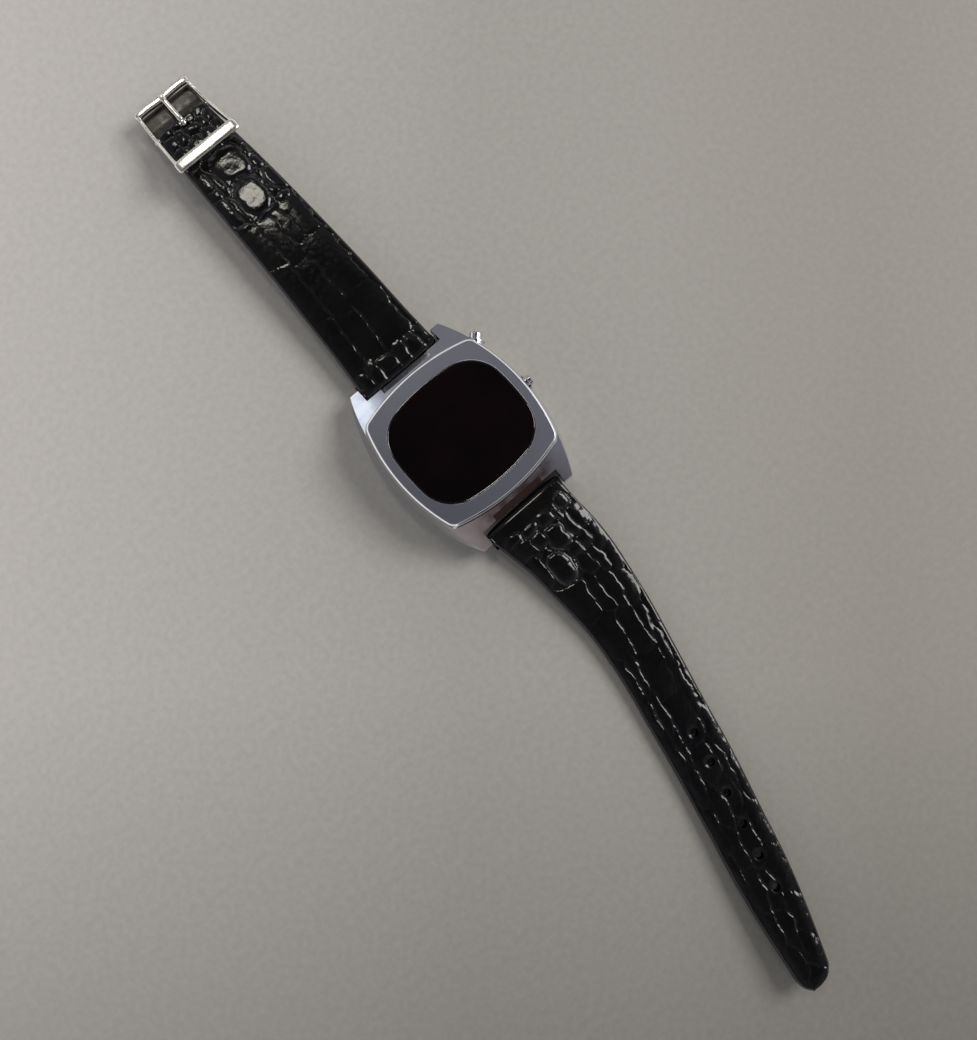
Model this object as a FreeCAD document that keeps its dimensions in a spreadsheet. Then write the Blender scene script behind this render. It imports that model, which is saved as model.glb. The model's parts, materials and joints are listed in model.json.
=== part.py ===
import FreeCAD, Part
import math
import os
import re
import Sketcher

# A wristwatch with a push-to-light display, lying face up with its strap open.
# Frame: +X towards 3 o'clock, +Y towards 12 o'clock, +Z up through the lens.
# Origin: centre of the case back, on its outer face. Millimetres and degrees.

os.makedirs("parts", exist_ok=True)
doc = FreeCAD.newDocument("led_watch")

SIZES = [
    # case
    ("case_half_width", 18.0, "flank at the waist, from the centre line"),
    ("case_side_radius", 42.0, "plan radius of each flank"),
    ("case_waist_z", 5.0, "height of the widest line of the flank"),
    ("case_bottom_z", 0.9, "underside of the case around the back"),
    ("flank_lean_up", 16.0, "lean of the flank above the waist"),
    ("flank_lean_down", 13.0, "lean of the flank below the waist"),
    ("deck_z", 9.4, "top of the case, where the bezel plate lies"),
    ("deck_inset", 0.35, "deck edge inside the bezel's edge"),
    ("lug_reach", 21.4, "lug tip from the centre"),
    ("lug_gap", 20.0, "clear width between a pair of lugs"),
    ("lug_root_y", 12.0, "where the sloping lug facet begins"),
    ("lug_root_z", 9.0, "height of the lug facet where it begins"),
    ("lug_tip_z", 5.6, "height of the lug facet at the tip"),
    ("lug_edge_radius", 1.2, "rounding of the upright lug corners"),
    ("end_wall_reach", 18.1, "case wall between the lugs, from the centre"),
    ("scoop_width", 12.6, "polished scoop between the lug facets"),
    ("scoop_top_y", 14.9, "where the scoop starts under the bezel"),
    ("scoop_lip_z", 5.7, "height of the scoop where it meets the end wall"),
    ("cavity_radius", 13.7, "round hollow for the module"),
    ("cavity_top_z", 8.6, "ceiling of the hollow"),
    ("back_seat_radius", 14.4, "counterbore for the case back"),
    ("back_seat_z", 1.5, "depth of that counterbore"),
    # bezel plate and lens
    ("bezel_inset", 1.45, "bezel edge inside the flank's waist"),
    ("bezel_half_x", "=case_half_width - bezel_inset", "bezel plate, half width"),
    ("bezel_half_y", 15.85, "bezel plate, half height"),
    ("bezel_corner_share", 0.858, "where the bezel's arcs cross, of its half size"),
    ("bezel_corner_x", "=bezel_half_x * bezel_corner_share", "crossing of the bezel's arcs"),
    ("bezel_corner_y", "=bezel_half_y * bezel_corner_share", "crossing of the bezel's arcs"),
    ("bezel_corner_radius", 2.4, "rounding of the bezel's corners"),
    ("bezel_thickness", 1.6, "bezel plate thickness"),
    ("bezel_bevel", 0.22, "polished bevel on the bezel's edges"),
    ("lens_margin_x", 2.45, "bezel beside the lens"),
    ("lens_margin_y", 3.65, "bezel above and below the lens"),
    ("lens_half_x", "=bezel_half_x - lens_margin_x", "lens, half width"),
    ("lens_half_y", "=bezel_half_y - lens_margin_y", "lens, half height"),
    ("lens_corner_share_x", 0.922, "where the lens arcs cross, of its half width"),
    ("lens_corner_share_y", 0.836, "where the lens arcs cross, of its half height"),
    ("lens_corner_x", "=lens_half_x * lens_corner_share_x", "crossing of the lens arcs"),
    ("lens_corner_y", "=lens_half_y * lens_corner_share_y", "crossing of the lens arcs"),
    ("lens_corner_radius", 8.0, "rounding of the lens corners"),
    ("lens_stand_out", 0.08, "lens top above the bezel"),
    ("lens_bevel", 0.12, "polished bevel on the lens edge"),
    ("lens_fit", 0.04, "clearance around the lens"),
    ("lens_seat_depth", 0.4, "recess of the lens seat below the deck"),
    ("lens_seat_width", 1.3, "ledge that carries the lens"),
    ("lens_gasket_thickness", 0.28, "seal under the lens"),
    # case back
    ("back_thickness", 1.2, "case back disc"),
    ("back_fit", 0.08, "clearance around the case back"),
    ("back_rim_height", 1.2, "snap rim inside the case"),
    ("back_rim_wall", 0.8, "wall of the snap rim"),
    ("back_chamfer", 0.7, "sloping edge of the case back"),
    ("seal_fit", 0.02, "clearance on the faces of a seal or a glued layer"),
    # module
    ("module_fit", 0.3, "clearance of the module frame in the hollow"),
    ("cell_diameter", 11.6, "button cell"),
    ("cell_height", 5.4, "button cell"),
    ("cell_spacing", 12.2, "distance between the two cell centres"),
    ("cell_fit", 0.12, "clearance of a cell in its pocket"),
    ("cell_bottom_z", 1.75, "underside of the cells"),
    ("board_gap", 0.08, "gap between the cells and the board"),
    ("board_radius", 12.6, "circuit board"),
    ("board_thickness", 0.6, "circuit board"),
    ("display_length", 19.0, "display block along X"),
    ("display_depth", 7.6, "display block along Y"),
    ("display_thickness", 0.7, "display block"),
    ("digit_height", 3.0, "lit digit, along Y"),
    ("digit_width", 1.7, "lit digit, along X"),
    ("digit_stroke", 0.28, "width of a lit segment"),
    ("digit_pitch", 3.7, "distance between digit centres"),
    ("digit_thickness", 0.08, "height of the segment dice"),
    ("cover_thickness", 0.45, "clear cover bar over the digits"),
    ("chip_length", 8.0, "driver chip along X"),
    ("chip_depth", 4.2, "driver chip along Y"),
    ("chip_thickness", 0.75, "driver chip"),
    ("chip_offset", 7.2, "driver chip centre below the display centre"),
    ("quartz_length", 6.6, "quartz can"),
    ("quartz_diameter", 0.76, "quartz can"),
    ("quartz_offset", 7.0, "quartz can above the display centre"),
    ("trimmer_radius", 1.5, "trimmer capacitor"),
    ("trimmer_height", 0.7, "trimmer capacitor"),
    ("insulator_thickness", 0.15, "insulating disc on the case back"),
    ("screw_head_radius", 0.7, "module screw"),
    ("screw_radius", 0.4, "module screw shank"),
    ("screw_circle", 11.3, "module screws from the centre"),
    ("leaf_thickness", 0.15, "switch leaf"),
    ("leaf_width", 1.8, "switch leaf"),
    ("leaf_height", 3.4, "switch leaf, hanging below the board"),
    # push buttons
    ("button_z", 5.0, "height of both button axes"),
    ("time_inset", 2.6, "seat of the time button inside the waist"),
    ("time_x", "=case_half_width - time_inset", "seat of the time button"),
    ("time_y", 13.1, "seat of the time button"),
    ("time_angle", 45.0, "direction of the time button in plan"),
    ("time_stem", 7.2, "time button stem, from its seat inwards"),
    ("time_travel", 0.8, "time button travel"),
    ("time_cap_out", 2.1, "time button end above its seat"),
    ("time_cap_radius", 1.4, "time button"),
    ("set_inset", 0.3, "seat of the set button inside the waist"),
    ("set_x", "=case_half_width - set_inset", "seat of the set button"),
    ("set_y", -0.3, "seat of the set button"),
    ("set_stem", 4.5, "set button stem, from its seat inwards"),
    ("set_travel", 0.6, "set button travel"),
    ("set_cap_out", 1.4, "set button end above its seat"),
    ("set_cap_radius", 1.15, "set button"),
    ("button_fit", 0.05, "running clearance around a button"),
    ("button_tube_wall", 0.32, "wall of the pressed-in button tube"),
    ("button_tube_length", 3.9, "pressed-in button tube below its seat"),
    ("button_tube_floor", 0.7, "inner end of the tube"),
    ("collar_width", 0.6, "collar around the button, beyond its bore"),
    ("collar_height", 0.4, "collar above its seat"),
    ("plunger_depth", 1.1, "button plunger below its seat"),
    ("stem_radius", 0.65, "button stem"),
    ("ring_section", 0.4, "seal ring height"),
    ("ring_depth", 0.35, "seal ring groove depth"),
    ("clip_radius", 1.05, "retaining clip on the stem"),
    ("clip_thickness", 0.25, "retaining clip"),
    ("clip_gap", 0.1, "play between the clip and the tube"),
    ("coil_wire", 0.25, "wall of the button's return spring"),
    # spring bars
    ("bar_reach", 20.1, "strap spring bar from the centre"),
    ("bar_z", 3.0, "strap spring bar above the table"),
    ("pivot_height", 4.8, "buckle spring bar above the table"),
    ("bar_radius", 0.75, "spring bar tube"),
    ("bar_bore", 0.45, "bore of the spring bar tube, radius"),
    ("bar_tip_radius", 0.4, "spring bar tip"),
    ("bar_tip_fit", 0.06, "clearance of a tip in its hole"),
    ("bar_tip_depth", 0.9, "tip inside the lug or arm"),
    ("bar_shoulder", 0.5, "length of the flanged shoulder"),
    ("bar_pin_shank", 3.2, "pin shank inside the tube"),
    # strap
    ("strap_lug_width", 19.4, "strap at the lugs"),
    ("strap_buckle_width", 12.6, "strap at the buckle"),
    ("strap_tail_width", 12.4, "strap through the punched holes"),
    ("strap_lug_thickness", 3.6, "padded strap at the lugs"),
    ("strap_thin_thickness", 2.6, "strap at the buckle"),
    ("strap_tail_thickness", 2.3, "strap at the tail tip"),
    ("leather_thickness", 1.0, "upper leather"),
    ("lining_thickness", 0.8, "lining"),
    ("loop_fit", 0.05, "leather loop around a spring bar"),
    ("loop_step", 0.04, "loop below the strap's top face"),
    ("loop_clearance", 0.25, "space between a loop and the layers behind it"),
    ("strap_12_length", 69.3, "lug spring bar to buckle spring bar"),
    ("strap_6_length", 110.9, "lug spring bar to tail tip"),
    ("hole_diameter", 1.7, "punched hole"),
    ("hole_pitch", 6.72, "distance between punched holes"),
    ("hole_first", 57.6, "first hole from the lug spring bar"),
    ("hole_side", 1.15, "holes beside the strap's middle line"),
    ("padding_inset", 1.0, "padding inside the strap's edge"),
    # buckle
    ("buckle_clearance", 0.25, "gap between the strap and a buckle arm"),
    ("buckle_arm", 0.8, "thickness of a buckle arm"),
    ("buckle_splay", 3.2, "degrees that each arm opens towards the keeper bar"),
    ("buckle_arm_height", 2.2, "height of a buckle arm at the pivot"),
    ("buckle_front", 7.1, "outer bar from the pivot"),
    ("buckle_rod", 0.85, "radius of the outer bar"),
    ("buckle_back", 9.1, "keeper bar centre from the pivot"),
    ("keeper_width", 2.7, "keeper bar along the strap"),
    ("keeper_thickness", 0.9, "keeper bar"),
    ("keeper_clearance", 2.7, "tail space under the keeper bar"),
    ("loop_radius", 1.3, "leather loop around the buckle spring bar"),
    ("slot_width", 2.4, "slot in the leather for the tongue"),
    ("tongue_width", 1.3, "tongue"),
    ("tongue_thickness", 0.8, "tongue"),
    ("tongue_overhang", 0.35, "tongue tip beyond the outer bar's centre"),
    ("flap_thickness", 0.8, "smooth leather flap under the outer bar"),
    ("flap_length", 6.0, "flap beyond the spring bar"),
    ("flap_gap", 0.35, "gap between the flap and the outer bar"),
    ("flap_inset", 0.3, "flap edge inside the strap's edge"),
    ("flap_tab", 9.0, "glued tab of the flap under the strap"),
    ("flap_tab_thickness", 0.6, "glued tab of the flap"),
]

sizes = doc.addObject("Spreadsheet::Sheet", "Sizes")
for row, (alias, number, note) in enumerate(SIZES, start=1):
    sizes.set("A%d" % row, alias)
    sizes.set("B%d" % row, str(number))
    sizes.set("C%d" % row, note)
    sizes.setAlias("B%d" % row, alias)
doc.recompute()

NAMES = re.compile(r"\b(" + "|".join(alias for alias, number, note in SIZES) + r")\b")
parts = {}


def cell(text):
    """Point each size named in an expression at its cell in the sheet."""
    return NAMES.sub(r"Sizes.\1", text)


def value(text):
    """The number that an expression of sizes has now."""
    return float(sizes.evalExpression(cell(text)))


def bind(target, **properties):
    """Tie properties of an object to expressions of sizes."""
    for prop, text in properties.items():
        target.setExpression(prop.replace("__", "."), cell(text))
    return target


def keep(node, shape_object):
    """Name an object as a finished sub-part, which is written to its own file."""
    shape_object.Label = node
    parts[node] = shape_object
    return shape_object


def place(target, x="0", y="0", z="0", rotation=None):
    """Bind an object's position, and turn it."""
    if rotation is not None:
        target.Placement = FreeCAD.Placement(FreeCAD.Vector(0, 0, 0), rotation)
    target.setExpression("Placement.Base.x", cell(x))
    target.setExpression("Placement.Base.y", cell(y))
    target.setExpression("Placement.Base.z", cell(z))
    return target


ALONG_X = FreeCAD.Rotation(FreeCAD.Vector(0, 1, 0), 90)


def along(angle):
    """The turn that takes an object's own Z axis to a level direction."""
    return FreeCAD.Rotation(FreeCAD.Vector(0, 0, 1), angle) * ALONG_X


def cylinder(name, radius, height, x="0", y="0", z="0", rotation=None):
    solid = doc.addObject("Part::Cylinder", name)
    bind(solid, Radius=radius, Height=height)
    return place(solid, x, y, z, rotation)


def block(name, length, width, height, x, y, z):
    """A box placed by the middle of its base."""
    solid = doc.addObject("Part::Box", name)
    bind(solid, Length=length, Width=width, Height=height)
    return place(solid, "(%s) - (%s) / 2" % (x, length), "(%s) - (%s) / 2" % (y, width), z)


def cut(name, base, *tools):
    """Take one or more tools away from a base."""
    tool = tools[0]
    if len(tools) > 1:
        tool = doc.addObject("Part::MultiFuse", name + "_tools")
        tool.Shapes = list(tools)
    result = doc.addObject("Part::Cut", name)
    result.Base = base
    result.Tool = tool
    return result


def join(name, *pieces):
    result = doc.addObject("Part::MultiFuse", name)
    result.Shapes = list(pieces)
    result.Refine = True
    return result


def group(name, *pieces):
    """Separate solids that share one sub-part."""
    result = doc.addObject("Part::Compound", name)
    result.Links = list(pieces)
    return result


def sketch(body, role, name, offset="0"):
    """A sketch on one of a body's own origin planes."""
    flat = body.newObject("Sketcher::SketchObject", name)
    plane = [feature for feature in body.Origin.OriginFeatures if feature.Role == role][0]
    flat.AttachmentSupport = [(plane, "")]
    flat.MapMode = "FlatFace"
    flat.setExpression("AttachmentOffset.Base.z", cell(offset))
    return flat


def hold(flat, geometry, point, x, y):
    """Hold a point of a sketch at a place given by two expressions."""
    for kind, text in (("DistanceX", x), ("DistanceY", y)):
        constraint = Sketcher.Constraint(kind, -1, 1, geometry, point, value(text))
        number = flat.addConstraint(constraint)
        flat.setExpression("Constraints[%d]" % number, cell(text))


def polygon(flat, points):
    """A closed outline of straight lines through points given by expressions."""
    corners = [FreeCAD.Vector(value(x), value(y), 0) for x, y in points]
    count = len(corners)
    for i in range(count):
        flat.addGeometry(Part.LineSegment(corners[i], corners[(i + 1) % count]), False)
    for i in range(count):
        flat.addConstraint(Sketcher.Constraint("Coincident", i, 2, (i + 1) % count, 1))
    for i in range(count):
        hold(flat, i, 1, *points[i])


def arc_radius(half, corner, chord):
    """Radius of the arc that bulges from a corner out to half, over a half chord."""
    rise = "((%s) - (%s))" % (half, corner)
    return "((%s) * (%s) + %s * %s) / (2 * %s)" % (chord, chord, rise, rise, rise)


def cushion(flat, half_x, half_y, corner_x, corner_y):
    """Four bulging arcs that cross at corners: the outline of a cushion shape."""
    hx, hy, cx, cy = (value(text) for text in (half_x, half_y, corner_x, corner_y))
    ends = [(cx, -cy), (cx, cy), (-cx, cy), (-cx, -cy)]
    middles = [(hx, 0), (0, hy), (-hx, 0), (0, -hy)]
    for i in range(4):
        through = [ends[i], middles[i], ends[(i + 1) % 4]]
        arc = Part.Arc(*(FreeCAD.Vector(x, y, 0) for x, y in through))
        flat.addGeometry(arc, False)
    for i in range(4):
        flat.addConstraint(Sketcher.Constraint("Coincident", i, 2, (i + 1) % 4, 1))
    signs = [("", "-"), ("", ""), ("-", ""), ("-", "-")]
    for i in range(4):
        sx, sy = signs[i]
        hold(flat, i, 1, "%s(%s)" % (sx, corner_x), "%s(%s)" % (sy, corner_y))
    side = arc_radius(half_x, corner_x, corner_y)
    end = arc_radius(half_y, corner_y, corner_x)
    for i, text in enumerate((side, end, side, end)):
        number = flat.addConstraint(Sketcher.Constraint("Radius", i, value(text)))
        flat.setExpression("Constraints[%d]" % number, cell(text))


def pad(body, profile, length, name, down=False):
    feature = body.newObject("PartDesign::Pad", name)
    feature.Profile = profile
    feature.setExpression("Length", cell(length))
    feature.Reversed = down
    return feature


def prism(name, role, points, length, offset="0"):
    """A straight-sided outline on an origin plane, made solid both ways from it."""
    body = doc.addObject("PartDesign::Body", name)
    flat = sketch(body, role, name + "_outline", offset)
    polygon(flat, points)
    feature = pad(body, flat, length, name + "_pad")
    feature.Midplane = True
    return body


def turned(name, points):
    """A piece turned about its own Z axis, from an outline of radius and height."""
    body = doc.addObject("PartDesign::Body", name)
    flat = sketch(body, "XZ_Plane", name + "_outline")
    polygon(flat, points)
    feature = body.newObject("PartDesign::Revolution", name + "_turn")
    feature.Profile = flat
    feature.ReferenceAxis = (flat, ["V_Axis"])
    feature.Angle = 360
    return body


def ring(name, outer, inner, low, high):
    return turned(name, [(inner, low), (outer, low), (outer, high), (inner, high)])


def upright_edges(shape):
    """The straight upright edges of a shape, which are a cushion's corners."""
    names = []
    for number, edge in enumerate(shape.Edges, start=1):
        first, last = edge.Vertexes[0].Point, edge.Vertexes[-1].Point
        level = math.hypot(first.x - last.x, first.y - last.y)
        if level < 1e-6 and abs(first.z - last.z) > 1e-3:
            names.append("Edge%d" % number)
    return names


def level_edges(shape, z):
    """The edges that lie at one height."""
    names = []
    for number, edge in enumerate(shape.Edges, start=1):
        box = edge.BoundBox
        if abs(box.ZMin - z) < 1e-4 and abs(box.ZMax - z) < 1e-4:
            names.append("Edge%d" % number)
    return names


def cushion_block(name, outline, radius, low, thick):
    """A cushion-shaped block with rounded upright corners."""
    body = doc.addObject("PartDesign::Body", name)
    flat = sketch(body, "XY_Plane", name + "_outline", low)
    cushion(flat, *outline)
    feature = pad(body, flat, thick, name + "_pad")
    doc.recompute()
    rounding = body.newObject("PartDesign::Fillet", name + "_corners")
    rounding.Base = (feature, upright_edges(feature.Shape))
    rounding.setExpression("Radius", cell(radius))
    doc.recompute()
    return body


def bevel(body, z, size, name):
    """Bevel the edges of a body at one height."""
    base = body.Tip
    feature = body.newObject("PartDesign::Chamfer", name)
    feature.Base = (base, level_edges(base.Shape, value(z)))
    feature.setExpression("Size", cell(size))
    doc.recompute()
    return feature


def inset(outline, by):
    """The cushion outline moved inwards, or outwards for a minus sign."""
    return ["%s - (%s)" % (text, by) for text in outline]


BEZEL = ["bezel_half_x", "bezel_half_y", "bezel_corner_x", "bezel_corner_y"]
LENS = ["lens_half_x", "lens_half_y", "lens_corner_x", "lens_corner_y"]
BEZEL_TOP = "deck_z + bezel_thickness"
LENS_TOP = BEZEL_TOP + " + lens_stand_out"
LENS_LOW = "deck_z - lens_seat_depth + lens_gasket_thickness + seal_fit * 2"
BOARD_LOW = "cell_bottom_z + cell_height + board_gap"
BOARD_TOP = BOARD_LOW + " + board_thickness"
DISPLAY_TOP = BOARD_TOP + " + display_thickness"
TIME_TURN = along(value("time_angle"))
SET_TURN = along(0)


# The case blank leans in above and below its waist.
def case_half(name, height, lean, down):
    body = doc.addObject("PartDesign::Body", name)
    flat = sketch(body, "XY_Plane", name + "_outline", "case_waist_z")
    half, reach = value("case_half_width"), value("lug_reach")
    radius = value("case_side_radius")
    tip = "case_half_width - case_side_radius + sqrt(case_side_radius ^ 2 - lug_reach ^ 2)"
    tip_x = value(tip)
    corners = [(tip_x, -reach), (tip_x, reach), (-tip_x, reach), (-tip_x, -reach)]
    places = [FreeCAD.Vector(x, y, 0) for x, y in corners]
    flat.addGeometry(Part.Arc(places[0], FreeCAD.Vector(half, 0, 0), places[1]), False)
    flat.addGeometry(Part.LineSegment(places[1], places[2]), False)
    flat.addGeometry(Part.Arc(places[2], FreeCAD.Vector(-half, 0, 0), places[3]), False)
    flat.addGeometry(Part.LineSegment(places[3], places[0]), False)
    for i in range(4):
        flat.addConstraint(Sketcher.Constraint("Coincident", i, 2, (i + 1) % 4, 1))
    signs = [("", "-"), ("", ""), ("-", ""), ("-", "-")]
    for i in range(4):
        hold(flat, i, 1, "%s(%s)" % (signs[i][0], tip), "%slug_reach" % signs[i][1])
    for i in (0, 2):
        number = flat.addConstraint(Sketcher.Constraint("Radius", i, radius))
        flat.setExpression("Constraints[%d]" % number, cell("case_side_radius"))
    feature = pad(body, flat, height, name + "_pad", down)
    doc.recompute()
    upright = feature.Shape.Volume
    feature.setExpression("TaperAngle", cell("-" + lean))
    doc.recompute()
    if feature.Shape.Volume >= upright:
        raise SystemExit("%s leans outwards" % name)
    return body


upper_half = case_half("case_upper", "lug_root_z - case_waist_z", "flank_lean_up", False)
lower_half = case_half("case_lower", "case_waist_z - case_bottom_z", "flank_lean_down", True)
deck_boss = cushion_block("case_deck", inset(BEZEL, "deck_inset"), "bezel_corner_radius",
                          "case_waist_z", "deck_z - case_waist_z")

# The lug facets slope down from the bezel to the lug tips.
FACET_END_Y = "(lug_reach + 1)"
FACET_END_Z = ("(lug_tip_z - (lug_root_z - lug_tip_z) / (lug_reach - lug_root_y))")
SKY_Z = "(deck_z + 3)"
facet_cuts = []
for label, side in (("12", ""), ("6", "-")):
    points = [(side + "lug_root_y", "lug_root_z"), (side + FACET_END_Y, FACET_END_Z),
              (side + FACET_END_Y, SKY_Z), (side + "lug_root_y", SKY_Z)]
    facet_cuts.append(prism("case_facet_" + label, "YZ_Plane", points, "case_half_width * 3"))
blank = cut("case_sloped", join("case_halves", upper_half, lower_half), *facet_cuts)
blank = join("case_blank", blank, deck_boss)

case_cuts = []
for label, side in (("12", ""), ("6", "-")):
    gap = block("case_gap_" + label, "lug_gap", "10", "deck_z * 2", "0",
                side + "(end_wall_reach + 5)", "-1")
    scoop = [(side + "scoop_top_y", "lug_root_z"), (side + "(end_wall_reach + 0.5)", "scoop_lip_z"),
             (side + "(end_wall_reach + 0.5)", SKY_Z), (side + "scoop_top_y", SKY_Z)]
    case_cuts.append(gap)
    case_cuts.append(prism("case_scoop_" + label, "YZ_Plane", scoop, "scoop_width"))
    case_cuts.append(cylinder("case_bar_hole_" + label, "bar_tip_radius + bar_tip_fit",
                              "lug_gap + 2 * (bar_tip_depth + 0.3)",
                              "-(lug_gap / 2 + bar_tip_depth + 0.3)", side + "bar_reach",
                              "bar_z", ALONG_X))
case_cuts.append(cylinder("case_cavity", "cavity_radius", "cavity_top_z"))
case_cuts.append(cylinder("case_back_seat", "back_seat_radius", "back_seat_z"))
case_cuts.append(cushion_block("case_window", inset(LENS, "lens_seat_width"),
                               "lens_corner_radius - lens_seat_width", "case_waist_z", "deck_z"))
case_cuts.append(cushion_block("case_lens_seat", inset(LENS, "-lens_fit"),
                               "lens_corner_radius", "deck_z - lens_seat_depth", "2"))
TUBE_OUTER = "%s_cap_radius + button_fit + button_tube_wall"
COLLAR = "%s_cap_radius + button_fit + collar_width"
for button, turn in (("time", TIME_TURN), ("set", SET_TURN)):
    seat = (button + "_x", button + "_y", "button_z", turn)
    spot = turned("case_%s_bore" % button, [
        ("0", "-12"), ("clip_radius + 0.15", "-12"), ("clip_radius + 0.15", "-button_tube_length"),
        (TUBE_OUTER % button + " + seal_fit", "-button_tube_length"),
        (TUBE_OUTER % button + " + seal_fit", "0"), (COLLAR % button + " + 0.05", "0"),
        (COLLAR % button + " + 0.05", "4"), ("0", "4")])
    case_cuts.append(place(spot, *seat))
case = cut("case_machined", blank, *case_cuts)
doc.recompute()

lug_corners = []
for number, edge in enumerate(case.Shape.Edges, start=1):
    middle = edge.CenterOfMass
    low = min(vertex.Z for vertex in edge.Vertexes)
    high = max(vertex.Z for vertex in edge.Vertexes)
    at_tip = abs(middle.y) > value("lug_reach - 1.2") and high - low > 0.8
    if at_tip and abs(middle.x) > value("lug_gap / 2 + 1"):
        lug_corners.append((number, value("lug_edge_radius"), value("lug_edge_radius")))
rounded = doc.addObject("Part::Fillet", "case_rounded")
rounded.Base = case
rounded.Edges = lug_corners
keep("case_body", rounded)

# The bezel is a flat plate with a window, its edges bevelled and polished.
plate = cushion_block("bezel_blank", BEZEL, "bezel_corner_radius", "deck_z", "bezel_thickness")
bevel(plate, BEZEL_TOP, "bezel_bevel", "bezel_outer_bevel")
opening = cushion_block("bezel_opening", inset(LENS, "-lens_fit"), "lens_corner_radius",
                        "deck_z - 1", "bezel_thickness + 2")
keep("bezel_plate", cut("bezel_cut", plate, opening))

lens = cushion_block("lens_blank", LENS, "lens_corner_radius", LENS_LOW,
                     "(%s) - (%s)" % (LENS_TOP, LENS_LOW))
bevel(lens, LENS_TOP, "lens_bevel", "lens_edge_bevel")
keep("lens", lens)

GASKET_LOW = "deck_z - lens_seat_depth + seal_fit"
seal = cushion_block("lens_gasket_blank", LENS, "lens_corner_radius", GASKET_LOW,
                     "lens_gasket_thickness")
seal_hole = cushion_block("lens_gasket_hole", inset(LENS, "lens_seat_width"),
                          "lens_corner_radius - lens_seat_width", GASKET_LOW + " - 1", "3")
keep("lens_gasket", cut("lens_gasket_cut", seal, seal_hole))

# The case back snaps in from below on its rim.
BACK_RADIUS = "back_seat_radius - back_fit"
RIM_RADIUS = "cavity_radius - back_fit"
back = turned("case_back_turned", [
    ("0", "0"), (BACK_RADIUS + " - back_chamfer", "0"), (BACK_RADIUS, "back_chamfer"),
    (BACK_RADIUS, "back_thickness"), (RIM_RADIUS, "back_thickness"),
    (RIM_RADIUS, "back_thickness + back_rim_height - 0.2"),
    (RIM_RADIUS + " - 0.2", "back_thickness + back_rim_height"),
    (RIM_RADIUS + " - back_rim_wall", "back_thickness + back_rim_height"),
    (RIM_RADIUS + " - back_rim_wall", "back_thickness"), ("0", "back_thickness")])
notch = block("case_back_notch", "3", "1.2", "back_chamfer", "0",
              "-(%s)" % BACK_RADIUS, "0")
keep("case_back", cut("case_back_cut", back, notch))
keep("case_back_gasket", ring("case_back_seal", BACK_RADIUS, "cavity_radius + 0.05",
                              "back_thickness + seal_fit", "back_seat_z - seal_fit"))

# The module: a moulded frame that carries two cells, the board and the display.
FRAME_RADIUS = "cavity_radius - back_fit - back_rim_wall - module_fit"
FRAME_LOW = "cell_bottom_z"
FRAME_TOP = "cell_bottom_z + cell_height"
frame_low = cylinder("module_frame_low", FRAME_RADIUS, "1.2", z=FRAME_LOW)
frame_high = cylinder("module_frame_high", "cavity_radius - module_fit",
                      "cell_height - 1.2", z=FRAME_LOW + " + 1.2")
frame_cuts = []
for label, side in (("left", "-"), ("right", "")):
    pocket = cylinder("module_pocket_" + label, "cell_diameter / 2 + cell_fit",
                      "cell_height + 2", side + "cell_spacing / 2", "0", FRAME_LOW + " - 1")
    frame_cuts.append(pocket)
    power = cylinder("battery_cell_" + label, "cell_diameter / 2", "cell_height",
                     side + "cell_spacing / 2", "0", "cell_bottom_z")
    keep("battery_cell_" + label, power)
for button, turn in (("time", TIME_TURN), ("set", SET_TURN)):
    way = turned("module_%s_way" % button, [
        ("0", "-12"), ("stem_radius + 0.5", "-12"),
        ("stem_radius + 0.5", "-(button_tube_length + clip_thickness + clip_gap + 1.2)"),
        ("clip_radius + 0.35", "-(button_tube_length + clip_thickness + clip_gap + 1.2)"),
        ("clip_radius + 0.35", "0"), ("0", "0")])
    frame_cuts.append(place(way, button + "_x", button + "_y", "button_z", turn))
LEAF_AT = "-(%s_stem + %s_travel + 0.05 + leaf_thickness)"
LEAF_LOW = "(%s) - leaf_height - seal_fit" % BOARD_LOW


def leaf_box(name, button, turn, around):
    """A plate across a button's axis, just beyond the end of its stem."""
    plate_box = doc.addObject("Part::Box", name)
    bind(plate_box, Length="leaf_thickness + 2 * (%s)" % around,
         Width="leaf_width + 2 * (%s)" % around, Height="leaf_height + (%s)" % around)
    angle = value("time_angle") if button == "time" else 0.0
    plate_box.Placement = FreeCAD.Placement(
        FreeCAD.Vector(0, 0, 0), FreeCAD.Rotation(FreeCAD.Vector(0, 0, 1), angle))
    out = "(%s - (%s))" % (LEAF_AT % (button, button), around)
    across = "(-(leaf_width / 2) - (%s))" % around
    turn_by = "time_angle" if button == "time" else "0"
    c, s = "cos(%s * 1 deg)" % turn_by, "sin(%s * 1 deg)" % turn_by
    return bind(plate_box,
                Placement__Base__x="%s_x + %s * %s - %s * %s" % (button, out, c, across, s),
                Placement__Base__y="%s_y + %s * %s + %s * %s" % (button, out, s, across, c),
                Placement__Base__z="%s - (%s)" % (LEAF_LOW, around))


for button, turn in (("time", TIME_TURN), ("set", SET_TURN)):
    keep(button + "_switch_leaf", leaf_box(button + "_leaf", button, turn, "0"))
    frame_cuts.append(leaf_box("module_%s_leaf_slot" % button, button, turn, "0.2"))

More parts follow.
